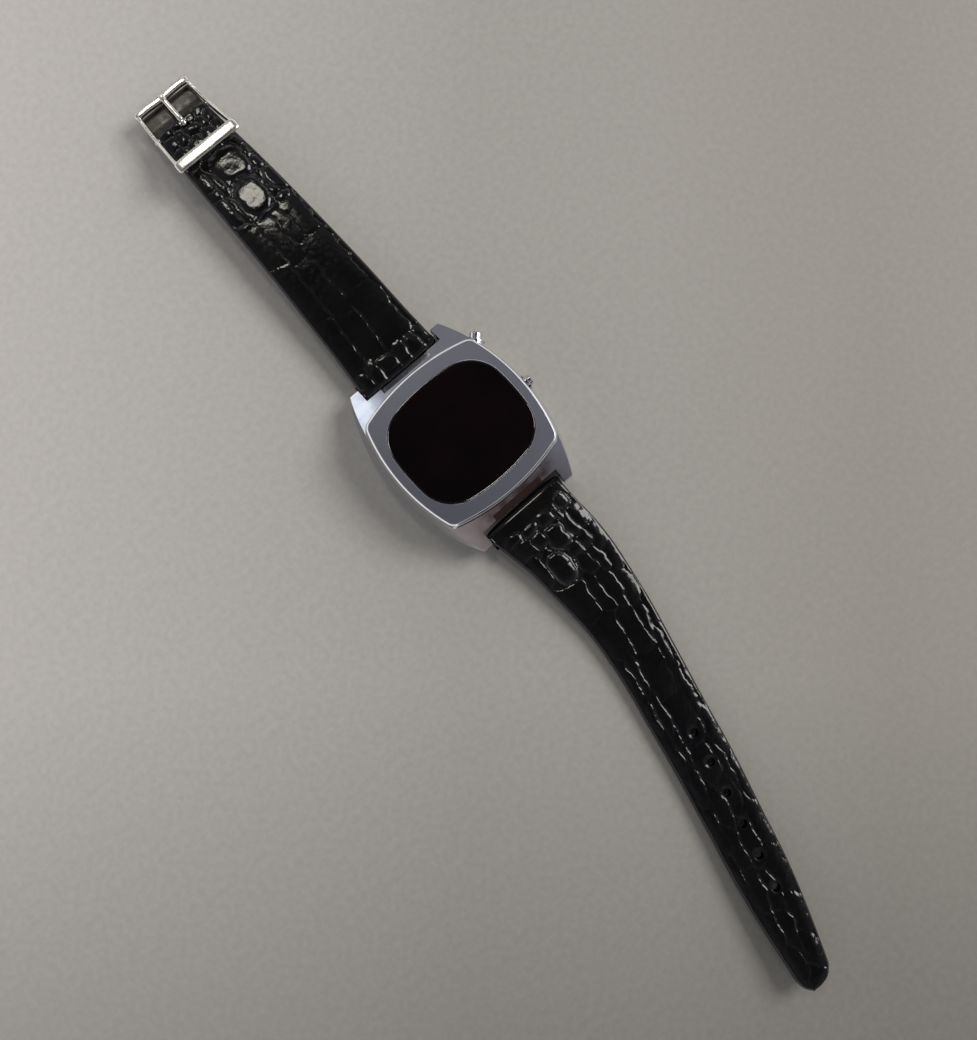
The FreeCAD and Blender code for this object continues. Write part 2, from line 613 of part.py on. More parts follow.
SCREW_ANGLES = (60, 120, 240, 300)
SCREW_TOP = "(%s)" % BOARD_TOP
screws = []
for number, angle in enumerate(SCREW_ANGLES, start=1):
    x = "screw_circle * %.6f" % math.cos(math.radians(angle))
    y = "screw_circle * %.6f" % math.sin(math.radians(angle))
    frame_cuts.append(cylinder("module_screw_hole_%d" % number, "screw_radius + 0.02", "3", x, y,
                               BOARD_LOW + " - 2.4"))
    screw = turned("module_screw_%d" % number, [
        ("0", "-2"), ("screw_radius", "-2"), ("screw_radius", "0.02"),
        ("screw_head_radius", "0.02"), ("screw_head_radius", "0.5"), ("0", "0.5")])
    screws.append(place(screw, x, y, SCREW_TOP))
keep("module_screws", group("module_screw_set", *screws))
keep("module_frame", cut("module_frame_cut", join("module_frame_blank", frame_low, frame_high),
                         *frame_cuts))

board = cylinder("circuit_board_blank", "board_radius", "board_thickness", z=BOARD_LOW)
board_holes = []
for number, angle in enumerate(SCREW_ANGLES, start=1):
    x = "screw_circle * %.6f" % math.cos(math.radians(angle))
    y = "screw_circle * %.6f" % math.sin(math.radians(angle))
    board_holes.append(cylinder("circuit_board_hole_%d" % number, "screw_radius + 0.03", "4", x, y,
                                BOARD_LOW + " - 1"))
keep("circuit_board", cut("circuit_board_cut", board, *board_holes))
keep("display_block", block("display_block_body", "display_length", "display_depth",
                            "display_thickness", "0", "0", BOARD_TOP))

# Four digits of seven bars and two colon dots, as bare light-emitting dice.
dice = []
bars = [(0, 1, True), (0, 0, True), (0, -1, True),
        (-1, 0.5, False), (1, 0.5, False), (-1, -0.5, False), (1, -0.5, False)]
for index, place_x in enumerate((-1.75, -0.75, 0.75, 1.75)):
    for bar, (bx, by, flat_bar) in enumerate(bars):
        across = "digit_width - digit_stroke * 2.4"
        tall = "digit_height / 2 - digit_stroke * 1.7"
        length, width = (across, "digit_stroke") if flat_bar else ("digit_stroke", tall)
        dice.append(block("digit_%d_bar_%d" % (index, bar), length, width, "digit_thickness",
                          "digit_pitch * %g + digit_width / 2 * %g" % (place_x, bx),
                          "digit_height / 2 * %g" % by, DISPLAY_TOP))
for number, side in enumerate(("", "-")):
    dice.append(block("digit_dot_%d" % number, "digit_stroke", "digit_stroke", "digit_thickness",
                      "0", side + "digit_height / 5", DISPLAY_TOP))
keep("display_digits", group("display_digit_dice", *dice))
keep("display_cover", block("display_cover_bar", "display_length - 1", "digit_height + 1.6",
                            "cover_thickness", "0", "0",
                            DISPLAY_TOP + " + digit_thickness + seal_fit"))
keep("driver_chip", block("driver_chip_body", "chip_length", "chip_depth", "chip_thickness",
                          "0", "-chip_offset", BOARD_TOP))
can = cylinder("quartz_can_body", "quartz_diameter / 2", "quartz_length",
               "-quartz_length / 2", "quartz_offset", BOARD_TOP + " + quartz_diameter / 2",
               ALONG_X)
keep("quartz_can", can)
keep("trimmer_capacitor", cylinder("trimmer_body", "trimmer_radius", "trimmer_height",
                                   "quartz_length / 2 + trimmer_radius + 0.8", "quartz_offset",
                                   BOARD_TOP))
keep("battery_insulator", cylinder("insulator_disc", RIM_RADIUS + " - back_rim_wall - 0.3",
                                   "insulator_thickness", z="back_thickness"))
CONTACT_Z = "back_thickness + insulator_thickness + seal_fit"
strip = block("contact_strip", "cell_spacing + 6", "4",
              "cell_bottom_z - (%s) - seal_fit" % CONTACT_Z, "0", "0", CONTACT_Z)
strip_gap = block("contact_strip_relief", "4", "2.4", "1", "0", "0", CONTACT_Z + " - 0.2")
keep("battery_contact", cut("contact_cut", strip, strip_gap))

# Push buttons, each with its pressed-in tube, return spring, seal ring and clip.
for button, turn in (("time", TIME_TURN), ("set", SET_TURN)):
    seat = (button + "_x", button + "_y", "button_z", turn)
    radius = button + "_cap_radius"
    groove_top = "-(plunger_depth - 0.25 - ring_section)"
    groove_low = "-(plunger_depth - 0.25)"
    stem_end = "-%s_stem" % button
    clip_top = "-(button_tube_length + clip_gap)"
    clip_low = "-(button_tube_length + clip_gap + clip_thickness)"
    cap_top = button + "_cap_out"
    cap = turned(button + "_button_turned", [
        ("0", stem_end), ("stem_radius", stem_end), ("stem_radius", clip_low),
        ("stem_radius - 0.2", clip_low), ("stem_radius - 0.2", clip_top),
        ("stem_radius", clip_top), ("stem_radius", "-plunger_depth"),
        (radius, "-plunger_depth"), (radius, groove_low),
        (radius + " - ring_depth", groove_low), (radius + " - ring_depth", groove_top),
        (radius, groove_top), (radius, cap_top + " - 0.25"),
        (radius + " - 0.25", cap_top), ("0", cap_top)])
    keep(button + "_button", place(cap, *seat))
    bore = radius + " + button_fit"
    outer = bore + " + button_tube_wall"
    floor = "-(button_tube_length - button_tube_floor)"
    tube = turned(button + "_tube_turned", [
        ("stem_radius + button_fit", "-button_tube_length"), (outer, "-button_tube_length"),
        (outer, "0.02"), (COLLAR % button, "0.02"), (COLLAR % button, "collar_height - 0.12"),
        (COLLAR % button + " - 0.12", "collar_height"), (bore, "collar_height"),
        (bore, floor), ("stem_radius + button_fit", floor)])
    keep(button + "_button_tube", place(tube, *seat))
    coil = ring(button + "_coil", "stem_radius + 0.06 + coil_wire", "stem_radius + 0.06",
                "-(button_tube_length - button_tube_floor) + 0.02", "-plunger_depth - 0.02")
    keep(button + "_button_spring", place(coil, *seat))
    seal_ring = ring(button + "_seal", radius + " + button_fit / 2", radius + " - ring_depth + 0.02",
                     groove_low + " + 0.02", groove_top + " - 0.02")
    keep(button + "_button_seal", place(seal_ring, *seat))
    clip = ring(button + "_clip", "clip_radius", "stem_radius - 0.18", clip_low + " + 0.02",
                clip_top + " - 0.02")
    keep(button + "_button_clip", place(clip, *seat))


def spring_bar(node, half_gap, y, z):
    """A tube with a sprung pin at each end, whose tips enter holes in the lugs or arms."""
    tube_half = "(%s - bar_shoulder - 0.15)" % half_gap
    start = "(%s - bar_shoulder - 0.15 - bar_pin_shank)" % half_gap
    tube = ring(node + "_tube_turned", "bar_radius", "bar_bore + 0.03",
                "-" + tube_half, tube_half)
    keep(node + "_tube", place(tube, "0", y, z, ALONG_X))
    pins = []
    for label, sign in (("right", ""), ("left", "-")):
        outline = [("0", start), ("bar_bore", start), ("bar_bore", tube_half + " + 0.05"),
                   ("bar_radius", tube_half + " + 0.05"),
                   ("bar_radius", "%s - 0.1" % half_gap), ("bar_tip_radius", "%s - 0.1" % half_gap),
                   ("bar_tip_radius", "%s + bar_tip_depth" % half_gap),
                   ("0", "%s + bar_tip_depth" % half_gap)]
        points = [(r, "%s(%s)" % (sign, h)) for r, h in outline]
        pins.append(place(turned("%s_pin_%s" % (node, label), points), "0", y, z, ALONG_X))
    keep(node + "_pins", group(node + "_pin_pair", *pins))
    coil = ring(node + "_coil_turned", "bar_bore", "bar_bore - 0.15",
                "-(%s - 0.05)" % start, "%s - 0.05" % start)
    keep(node + "_coil", place(coil, "0", y, z, ALONG_X))


spring_bar("spring_bar_12", "lug_gap / 2", "bar_reach", "bar_z")
spring_bar("spring_bar_6", "lug_gap / 2", "-bar_reach", "bar_z")

# The strap is built in layers. Each layer is its plan outline carried upwards, kept
# only between a lower and an upper curve seen from the side. The routes list, at
# shares of the strap's length, how far it drifts sideways and how high its middle
# lies above the table, and where between its end sizes its width and thickness are.
STRAP_12_ROUTE = [
    # share, sideways, middle height, width share, thickness share
    (0.000, 0.00, value("bar_z"), 1.000, 1.00),
    (0.115, 0.20, 3.36, 0.853, 0.94),
    (0.289, 0.45, 4.10, 0.720, 0.68),
    (0.490, 0.50, 4.83, 0.550, 0.36),
    (0.720, 0.30, 5.20, 0.368, 0.10),
    (0.860, 0.10, 5.06, 0.220, 0.02),
    (0.940, 0.02, 4.91, 0.090, 0.00),
    (1.000, 0.00, value("pivot_height"), 0.000, 0.00),
]
STRAP_6_ROUTE = [
    (0.0000, 0.00, value("bar_z"), 1.000, 1.00),
    (0.0514, 0.55, 2.75, 0.843, 0.95),
    (0.0929, 1.05, 2.52, 0.770, 0.88),
    (0.1533, 1.10, 2.15, 0.671, 0.70),
    (0.1984, 0.88, 1.95, 0.529, 0.58),
    (0.2525, 0.45, 1.75, 0.366, 0.48),
    (0.3607, -1.50, 1.50, 0.157, 0.34),
    (0.4689, -4.10, 1.42, 0.080, 0.27),
    (0.5771, -6.72, 1.45, 0.051, 0.21),
    (0.6853, -9.80, 1.85, -0.026, 0.15),
    (0.7935, -13.00, 2.65, -0.091, 0.09),
    (0.8927, -16.10, 3.75, -0.366, 0.04),
    (0.9558, -18.10, 4.60, -0.614, 0.02),
]
# The tip beyond the last row: share of the half width to the right, and run onwards.
TAIL_TIP = [(0.90, 2.00), (0.62, 3.65), (0.16, 4.65), (-0.36, 5.10), (-0.74, 3.95), (-0.95, 1.80)]


def route_rows(route, direction, length, wide, narrow, thick, thin):
    """Real places along a strap: y, x, height, half width and half thickness."""
    rows = []
    for share, drift, middle, width_share, thickness_share in route:
        half_width = (narrow + (wide - narrow) * width_share) / 2
        half_thick = (thin + (thick - thin) * thickness_share) / 2
        y = direction * (value("bar_reach") + share * length)
        rows.append((y, drift, middle, half_width, half_thick))
    return rows


def curve(points):
    line = Part.BSplineCurve()
    line.interpolate([FreeCAD.Vector(*point) for point in points])
    return line.toShape()


def straight(first, last):
    return Part.makeLine(FreeCAD.Vector(*first), FreeCAD.Vector(*last))


def edge_points(rows, side, inside):
    """Points of one long edge, set out square to the strap's middle line."""
    points = []
    for i, (y, x, middle, half_width, half_thick) in enumerate(rows):
        before, after = rows[max(i - 1, 0)], rows[min(i + 1, len(rows) - 1)]
        dy, dx = after[0] - before[0], after[1] - before[1]
        size = math.hypot(dx, dy)
        reach = side * (half_width - inside)
        points.append((x + reach * abs(dy) / size, y - reach * dx / size * math.copysign(1, dy), 0))
    return points


def tip_points(rows, tip, inside):
    """The tail's rounded end, set out from the last row along the strap's direction."""
    (y0, x0), (y1, x1) = rows[-2][:2], rows[-1][:2]
    half = rows[-1][3]
    size = math.hypot(x1 - x0, y1 - y0)
    onward = ((x1 - x0) / size, (y1 - y0) / size)
    points = []
    for share, run in tip:
        side, run = share * (half - inside), run * (half - inside) / half
        points.append((x1 - side * onward[1] + run * onward[0],
                       y1 + side * onward[0] + run * onward[1], 0))
    return points


def plan_solid(rows, inside, tip):
    """The strap's plan outline carried upwards. The tail closes in a rounded tip."""
    right, left = edge_points(rows, 1, inside), edge_points(rows, -1, inside)
    end = [right[-1]] + tip_points(rows, tip, inside) + [left[-1]]
    far = curve(end) if tip else straight(right[-1], left[-1])
    edges = [straight(left[0], right[0]), curve(right), far, curve(left)]
    face = Part.Face(Part.Wire(Part.__sortEdges__(edges)))
    solid = face.extrude(FreeCAD.Vector(0, 0, 20))
    solid.translate(FreeCAD.Vector(0, 0, -4))
    return solid


def side_solid(rows, low, high, beyond):
    """The space between two curves seen from the side, low and high above the middle."""
    ys = [row[0] for row in rows]
    bottom = [(-40, row[0], row[2] + low(row[4])) for row in rows]
    top = [(-40, row[0], row[2] + high(row[4])) for row in rows]
    step = math.copysign(beyond, ys[-1] - ys[0])
    if beyond:
        for line in (bottom, top):
            slope = (line[-1][2] - line[-2][2]) / (line[-1][1] - line[-2][1])
            line.append((-40, line[-1][1] + step, line[-1][2] + slope * step))
    edges = [curve(bottom), straight(bottom[-1], top[-1]), curve(top),
             straight(top[0], bottom[0])]
    face = Part.Face(Part.Wire(Part.__sortEdges__(edges)))
    return face.extrude(FreeCAD.Vector(80, 0, 0))


def across(radius, half, y, z):
    """A round bar along X."""
    return Part.makeCylinder(radius, 2 * half, FreeCAD.Vector(-half, y, z), FreeCAD.Vector(1, 0, 0))


def box_between(low, high):
    return Part.makeBox(high[0] - low[0], high[1] - low[1], high[2] - low[2],
                        FreeCAD.Vector(*low))


def strap_layers(node, rows, tip, holes):
    """Upper leather with its loop around the lug bar, padding, and lining."""
    leather, lining = value("leather_thickness"), value("lining_thickness")
    glue = value("seal_fit")
    bar_y, bar_z, half = rows[0][0], rows[0][2], rows[0][3]
    out = math.copysign(1, rows[-1][0] - rows[0][0])
    loop_outer = rows[0][4] - value("loop_step")
    loop_inner = value("bar_radius + loop_fit")
    beyond = max(run for _, run in tip) + 1 if tip else 0
    full = plan_solid(rows, 0, tip)
    inner = plan_solid(rows, value("padding_inset"), tip)
    start = bar_y + out * (loop_outer + value("loop_clearance"))
    behind = box_between((-40, min(bar_y - out * 9, start), -9), (40, max(bar_y - out * 9, start), 20))
    upper = full.common(side_solid(rows, lambda h: h - leather, lambda h: h, beyond))
    loop = across(loop_outer, half, bar_y, bar_z).cut(across(loop_inner, half + 1, bar_y, bar_z))
    upper = upper.cut(across(loop_inner, half + 1, bar_y, bar_z)).fuse(loop)
    filling = inner.common(side_solid(rows, lambda h: lining + glue - h,
                                      lambda h: h - leather - glue, beyond)).cut(behind)
    under = full.common(side_solid(rows, lambda h: -h, lambda h: lining - h, beyond)).cut(behind)
    layers = {"_leather": upper, "_padding": filling, "_lining": under}
    for suffix, layer in layers.items():
        for hole in holes:
            layer = layer.cut(hole)
        layers[suffix] = layer
    return layers


def feature(node, shape):
    holder = doc.addObject("Part::Feature", node + "_shape")
    solids = shape.Solids
    holder.Shape = solids[0] if len(solids) == 1 else shape
    holder.Placement = FreeCAD.Placement()
    return keep(node, holder)


rows_12 = route_rows(STRAP_12_ROUTE, 1, value("strap_12_length"), value("strap_lug_width"),
                     value("strap_buckle_width"), value("strap_lug_thickness"),
                     value("strap_thin_thickness"))
rows_6 = route_rows(STRAP_6_ROUTE, -1, value("strap_6_length"), value("strap_lug_width"),
                    value("strap_tail_width"), value("strap_lug_thickness"),
                    value("strap_tail_thickness"))

PIVOT_Y = "(bar_reach + strap_12_length)"
PIVOT_Z = "pivot_height"
pivot_y, pivot_z = rows_12[-1][0], rows_12[-1][2]

# Buckle end: the leather turns around a spring bar, with a slot for the tongue.
layers_12 = strap_layers("strap_12", rows_12, [], [])
half_end = rows_12[-1][3]
end_outer, end_inner = value("loop_radius"), value("bar_radius + loop_fit")
end_loop = across(end_outer, half_end, pivot_y, pivot_z)
end_loop = end_loop.cut(across(end_inner, half_end + 1, pivot_y, pivot_z))
slot = box_between((-value("slot_width") / 2, pivot_y - end_outer - 1.2, pivot_z - 6),
                   (value("slot_width") / 2, pivot_y + end_outer + 1, pivot_z + 6))
room = across(end_inner, half_end + 1, pivot_y, pivot_z)
layers_12["_leather"] = layers_12["_leather"].cut(room).fuse(end_loop).cut(slot)
stop = pivot_y - end_outer - value("loop_clearance")
short = box_between((-40, stop, -9), (40, pivot_y + 9, 20))
for suffix in ("_padding", "_lining"):
    layers_12[suffix] = layers_12[suffix].cut(short)
for suffix, layer in layers_12.items():
    feature("strap_12" + suffix, layer)

# A smooth leather flap lies under the outer bar, glued to the underside of the strap.
flap_top = pivot_z - value("buckle_rod + flap_gap")
flap_low = flap_top - value("flap_thickness")
flap_half = half_end - value("flap_inset")
lining_low = pivot_z - rows_12[-1][4]
flap_end = pivot_y + value("flap_length")
flap = box_between((-flap_half, pivot_y + 1.6, flap_low), (flap_half, flap_end, flap_top))
tab_top = min(lining_low - value("seal_fit"), pivot_z - end_outer - 0.05)
tab_low = tab_top - value("flap_tab_thickness")
tab = box_between((-flap_half, pivot_y - value("flap_tab"), tab_low),
                  (flap_half, pivot_y + 2.4, tab_top))
feature("strap_12_underlay_flap", flap.fuse(tab))


def route_place(rows, run):
    """Middle of the strap at a distance from its spring bar."""
    y = math.copysign(value("bar_reach") + run, rows[-1][0])
    for first, last in zip(rows, rows[1:]):
        if abs(first[0]) <= abs(y) <= abs(last[0]):
            share = (y - first[0]) / (last[0] - first[0])
            return first[1] + share * (last[1] - first[1]), y
    return rows[-1][1], y


HOLE_COUNT = 6
punched = []
for number in range(HOLE_COUNT):
    hole_x, hole_y = route_place(rows_6, value("hole_first") + number * value("hole_pitch"))
    place_3d = FreeCAD.Vector(hole_x + value("hole_side"), hole_y, -4)
    punched.append(Part.makeCylinder(value("hole_diameter") / 2, 24, place_3d))
layers_6 = strap_layers("strap_6", rows_6, TAIL_TIP, punched)
for suffix, layer in layers_6.items():
    feature("strap_6" + suffix, layer)

# Buckle: two arms, a round outer bar, and a flat keeper bar that bridges the strap.
BUCKLE_HALF = "(strap_buckle_width / 2 + buckle_clearance)"
ARM_LOW = "(-buckle_arm_height / 2)"
KEEPER_LOW = "(strap_thin_thickness / 2 + keeper_clearance)"
arm_side = [
    ("buckle_front", ARM_LOW + " + 0.4"), ("buckle_front + buckle_rod * 0.6", "0"),
    ("buckle_front", "-(%s) - 0.3" % ARM_LOW), ("0", "buckle_arm_height / 2 + 0.5"),
    ("-(buckle_back - keeper_width / 2)", KEEPER_LOW + " + keeper_thickness"),
    ("-(buckle_back + keeper_width / 2)", KEEPER_LOW + " + keeper_thickness"),
    ("-(buckle_back + keeper_width / 2)", KEEPER_LOW + " - 0.4"),
    ("-buckle_back * 0.6", "0.9"), ("-2.5", ARM_LOW),
    ("2.5", ARM_LOW)]
arms = []
for label, sign in (("right", 1), ("left", -1)):
    arm = prism("buckle_arm_" + label, "YZ_Plane", arm_side, "buckle_arm")
    splay = FreeCAD.Rotation(FreeCAD.Vector(0, 0, 1), sign * value("buckle_splay"))
    arms.append(place(arm, "%d * (%s + buckle_arm / 2)" % (sign, BUCKLE_HALF), PIVOT_Y, PIVOT_Z,
                      splay))
FRONT_HALF = "(%s + buckle_arm + 0.1 - buckle_front * tan(buckle_splay))" % BUCKLE_HALF
KEEPER_HALF = "(%s + buckle_arm + 0.1 + buckle_back * tan(buckle_splay))" % BUCKLE_HALF
outer_bar = cylinder("buckle_outer_bar", "buckle_rod", "2 * " + FRONT_HALF, "-" + FRONT_HALF,
                     PIVOT_Y + " + buckle_front", PIVOT_Z, ALONG_X)
keeper = block("buckle_keeper_bar", "2 * " + KEEPER_HALF, "keeper_width",
               "keeper_thickness", "0", PIVOT_Y + " - buckle_back", PIVOT_Z + " + " + KEEPER_LOW)
buckle_blank = join("buckle_blank", arms[0], arms[1], outer_bar, keeper)
pivot_hole = cylinder("buckle_pivot_hole", "bar_tip_radius + bar_tip_fit",
                      "4 * " + BUCKLE_HALF, "-2 * " + BUCKLE_HALF, PIVOT_Y, PIVOT_Z, ALONG_X)
keep("buckle_frame", cut("buckle_cut", buckle_blank, pivot_hole))

spring_bar("buckle_bar", BUCKLE_HALF, PIVOT_Y, PIVOT_Z)

# Tongue: a curled eye around the buckle's spring bar and a blade over the outer bar.
EYE = "(bar_radius + loop_fit + tongue_thickness * 0.6)"
REST = "(buckle_rod + button_fit / 2)"
blade_side = [
    ("0", EYE + " - tongue_thickness"), ("0", EYE),
    ("buckle_front * 0.55", EYE + " + 0.25"),
    ("buckle_front + tongue_overhang", REST + " + tongue_thickness * 0.8"),
    ("buckle_front + tongue_overhang + 0.45", REST + " + 0.2"),
    ("buckle_front + tongue_overhang + 0.3", REST),
    ("buckle_front - 1", REST), ("buckle_front * 0.55", EYE + " - tongue_thickness + 0.25")]
blade = place(prism("tongue_blade", "YZ_Plane", blade_side, "tongue_width"),
              "0", PIVOT_Y, PIVOT_Z)
eye = cylinder("tongue_eye", EYE, "tongue_width", "-tongue_width / 2", PIVOT_Y, PIVOT_Z, ALONG_X)
eye_hole = cylinder("tongue_eye_hole", "bar_radius + loop_fit", "tongue_width * 3",
                    "-tongue_width * 1.5", PIVOT_Y, PIVOT_Z, ALONG_X)
keep("buckle_tongue", cut("tongue_cut", join("tongue_blank", blade, eye), eye_hole))

doc.recompute()
for item in doc.Objects:
    if "Invalid" in item.State or "Error" in item.State:
        raise SystemExit("%s did not rebuild: %s" % (item.Label, item.State))
for node, item in parts.items():
    shape = item.Shape
    if shape.isNull() or not shape.isValid():
        raise SystemExit("%s is not a valid solid" % node)
    if not shape.Solids:
        raise SystemExit("%s holds no solid" % node)
    shape.exportStep("parts/%s.step" % node)
    box = shape.optimalBoundingBox(False, False)
    print("%-24s %2d solids %9.2f mm3  X %6.1f %6.1f  Y %6.1f %6.1f  Z %5.1f %5.1f" % (
        node, len(shape.Solids), shape.Volume, box.XMin, box.XMax, box.YMin, box.YMax,
        box.ZMin, box.ZMax))
print("%d parts" % len(parts))
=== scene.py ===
# %% [markdown]
# This lesson dresses a wristwatch whose hard parts were drawn in CAD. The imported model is
# loaded first and never moved, so every new surface goes where the hard parts say. Soft
# parts, such as the strap, are only plain layers in that model, and get real surfaces here.
# %% Load the hard parts
import bpy
import math
import json
import numpy as np
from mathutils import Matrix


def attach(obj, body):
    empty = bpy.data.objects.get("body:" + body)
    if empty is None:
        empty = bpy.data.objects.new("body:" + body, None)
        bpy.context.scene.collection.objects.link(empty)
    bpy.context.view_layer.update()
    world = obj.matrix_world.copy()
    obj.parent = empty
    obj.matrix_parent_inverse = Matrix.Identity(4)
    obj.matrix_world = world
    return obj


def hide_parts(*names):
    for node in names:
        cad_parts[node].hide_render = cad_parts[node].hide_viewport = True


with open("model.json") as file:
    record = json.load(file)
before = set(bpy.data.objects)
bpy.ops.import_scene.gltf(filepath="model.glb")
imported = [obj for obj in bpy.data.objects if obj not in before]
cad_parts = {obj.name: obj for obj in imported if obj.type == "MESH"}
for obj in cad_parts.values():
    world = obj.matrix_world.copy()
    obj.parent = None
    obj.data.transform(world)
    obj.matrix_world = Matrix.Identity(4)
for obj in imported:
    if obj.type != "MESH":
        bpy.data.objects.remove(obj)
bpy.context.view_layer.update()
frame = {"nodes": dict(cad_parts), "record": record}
nodes = frame["nodes"]
MM = 0.001
scene = bpy.context.scene
print("parts in the frame:", len(nodes))

# %% [markdown]
# The camera stands where the photograph was taken from: almost straight above, a little
# to the left of the watch, and turned so that the strap runs across the picture. Its
# focal length is a count of pixels, turned into a lens for a 36 mm tall sensor.
# %% Camera
PHOTO_HEIGHT_PX = 1040
FOCAL_PX = 1150
SENSOR_MM = 36
camera_data = bpy.data.cameras.new("camera")
camera_data.sensor_fit = "VERTICAL"
camera_data.sensor_height = SENSOR_MM
camera_data.lens = SENSOR_MM * FOCAL_PX / PHOTO_HEIGHT_PX
camera_data.clip_start = 0.01
camera = bpy.data.objects.new("camera", camera_data)
scene.collection.objects.link(camera)
camera.location = (-29.6 * MM, -29.3 * MM, 241.3 * MM)
camera.rotation_euler = [math.radians(turn) for turn in (5.83, -2.06, -41.41)]
scene.camera = camera
print("lens %.1f mm" % camera_data.lens)

# %% [markdown]
# Materials are node trees. The helpers keep them short: one makes a node and sets its
# sockets, one maps a value from one range to another, and one starts a material.
# %% Material helpers


class Finish:
    """A material with a Principled shader, and short words for adding nodes to it."""

    def __init__(self, name, colour, roughness, metallic=0.0, **sockets):
        self.material = bpy.data.materials.new(name)
        self.material.use_nodes = True
        self.tree = self.material.node_tree
        self.shader = self.tree.nodes["Principled BSDF"]
        self.place = self.tree.nodes.new("ShaderNodeTexCoord").outputs["Object"]
        self.set("Base Color", (*colour, 1))
        self.set("Roughness", roughness)
        self.set("Metallic", metallic)
        for socket, number in sockets.items():
            self.set(socket.replace("_", " "), number)

    def set(self, socket, number):
        self.shader.inputs[socket].default_value = number

    def link(self, source, target):
        self.tree.links.new(source, target)

    def node(self, kind, **settings):
        """A node of that kind. Settings that name a socket go to it, others to the node."""
        made = self.tree.nodes.new("ShaderNode" + kind)
        for name, number in settings.items():
            if hasattr(made, name):
                setattr(made, name, number)
            else:
                made.inputs[name.replace("_", " ")].default_value = number
        return made

    def noise(self, scale, detail=3.0, stretch=None, rough=0.55):
        """Cloudy numbers from 0 to 1. Stretch makes the cloud finer along some axes."""
        cloud = self.node("TexNoise", Scale=scale, Detail=detail, Roughness=rough)
        if stretch is None:
            self.link(self.place, cloud.inputs["Vector"])
        else:
            pull = self.node("Mapping", Scale=stretch)
            self.link(self.place, pull.inputs["Vector"])
            self.link(pull.outputs["Vector"], cloud.inputs["Vector"])
        return cloud.outputs["Fac"]

    def remap(self, source, low, high, to_low, to_high):
        """The source's range from low to high, stretched to a new range and held there."""
        change = self.node("MapRange", From_Min=low, From_Max=high, To_Min=to_low, To_Max=to_high)
        self.link(source, change.inputs["Value"])
        return change.outputs["Result"]

    def colours(self, source, *stops):
        """A colour for each number: stops are (position, colour)."""
        ramp = self.node("ValToRGB")
        marks = ramp.color_ramp.elements
        while len(marks) < len(stops):
            marks.new(0.5)
        for mark, (position, colour) in zip(marks, stops):
            mark.position = position
            mark.color = (*colour, 1)
        self.link(source, ramp.inputs["Fac"])
        return ramp.outputs["Color"]

    def rough(self, source, low, high):
        self.link(self.remap(source, 0.35, 0.65, low, high), self.shader.inputs["Roughness"])

    def bump(self, source, height, strength=1.0):
        """Relief too fine for the mesh, with its height in metres."""
        relief = self.node("Bump", Strength=strength, Distance=height)
        self.link(source, relief.inputs["Height"])
        earlier = self.shader.inputs["Normal"].links
        if earlier:
            self.link(earlier[0].from_socket, relief.inputs["Normal"])
        self.link(relief.outputs["Normal"], self.shader.inputs["Normal"])


# %% [markdown]
# The table is a pale grey sheet with a faint mottle. Its colour carries painted light, lighter
# towards the picture's left, and painted shade, darker at its lower edge. Both slopes are
# measured along a direction on the table.
# %% Table
TABLE_SIZE = 3.0
tabletop = bpy.data.meshes.new("table_top")
reach = TABLE_SIZE / 2
tabletop.from_pydata([(-reach, -reach, 0), (reach, -reach, 0), (reach, reach, 0),
                      (-reach, reach, 0)], [], [(0, 1, 2, 3)])
table = bpy.data.objects.new("table_top", tabletop)
scene.collection.objects.link(table)
surface = Finish("table_sheet", (0.42, 0.40, 0.38), 0.6)
mottle = surface.colours(surface.noise(700, 5), (0.3, (0.93, 0.93, 0.93)),
                         (0.7, (1.05, 1.05, 1.04)))


def along(finish, way):
    """How far a point lies along a direction, in metres: the dot product of the two."""
    made = finish.node("VectorMath", operation="DOT_PRODUCT")
    finish.link(finish.place, made.inputs[0])
    made.inputs[1].default_value = way
    return made.outputs["Value"]


# the picture's left and its lower edge, as directions on the table
PICTURE_LEFT, PICTURE_DOWN = (-0.75, 0.66, 0), (-0.66, -0.75, 0)
# painted light: the sheet's colour grows lighter towards the picture's left
painted_light_share = surface.remap(along(surface, PICTURE_LEFT), -0.09, 0.13, 0.0, 1.0)
sheet_tones_with_painted_light = surface.colours(painted_light_share, (0.0, (0.305, 0.290, 0.262)), (0.22, (0.365, 0.348, 0.322)),
                              (0.4, (0.39, 0.375, 0.350)), (1.0, (0.66, 0.632, 0.61)))
# painted shade: the sheet's colour darkens towards its lower edge
painted_shade_share = surface.remap(along(surface, PICTURE_DOWN), 0.05, 0.13, 1.0, 0.66)
painted_shade_scale = surface.node("VectorMath", operation="SCALE")
surface.link(sheet_tones_with_painted_light, painted_shade_scale.inputs[0])
surface.link(painted_shade_share, painted_shade_scale.inputs["Scale"])
blend = surface.node("MixRGB", blend_type="MULTIPLY", Fac=1.0)
surface.link(painted_shade_scale.outputs["Vector"], blend.inputs["Color1"])
surface.link(mottle, blend.inputs["Color2"])
surface.link(blend.outputs["Color"], surface.shader.inputs["Base Color"])
surface.bump(surface.noise(2500, 2), 0.00002, 0.4)
tabletop.materials.append(surface.material)
print("table %.1f m wide" % TABLE_SIZE)

# %% [markdown]
# The light is soft. Polished metal and glossy leather show what surrounds them, so the
# room matters as much as the lamps: pale walls, a dim ceiling, and dark patches where the
# real metal mirrors something dark. The camera itself sees a plain pale backdrop instead.
# %% Room
scene.view_settings.view_transform = "Standard"
world = bpy.data.worlds.new("room")
scene.world = world
world.use_nodes = True
room = world.node_tree
sky = room.nodes["Background"]
direction = room.nodes.new("ShaderNodeTexCoord").outputs["Generated"]
split = room.nodes.new("ShaderNodeSeparateXYZ")
room.links.new(direction, split.inputs["Vector"])
heights = room.nodes.new("ShaderNodeValToRGB")
room.links.new(split.outputs["Z"], heights.inputs["Fac"])
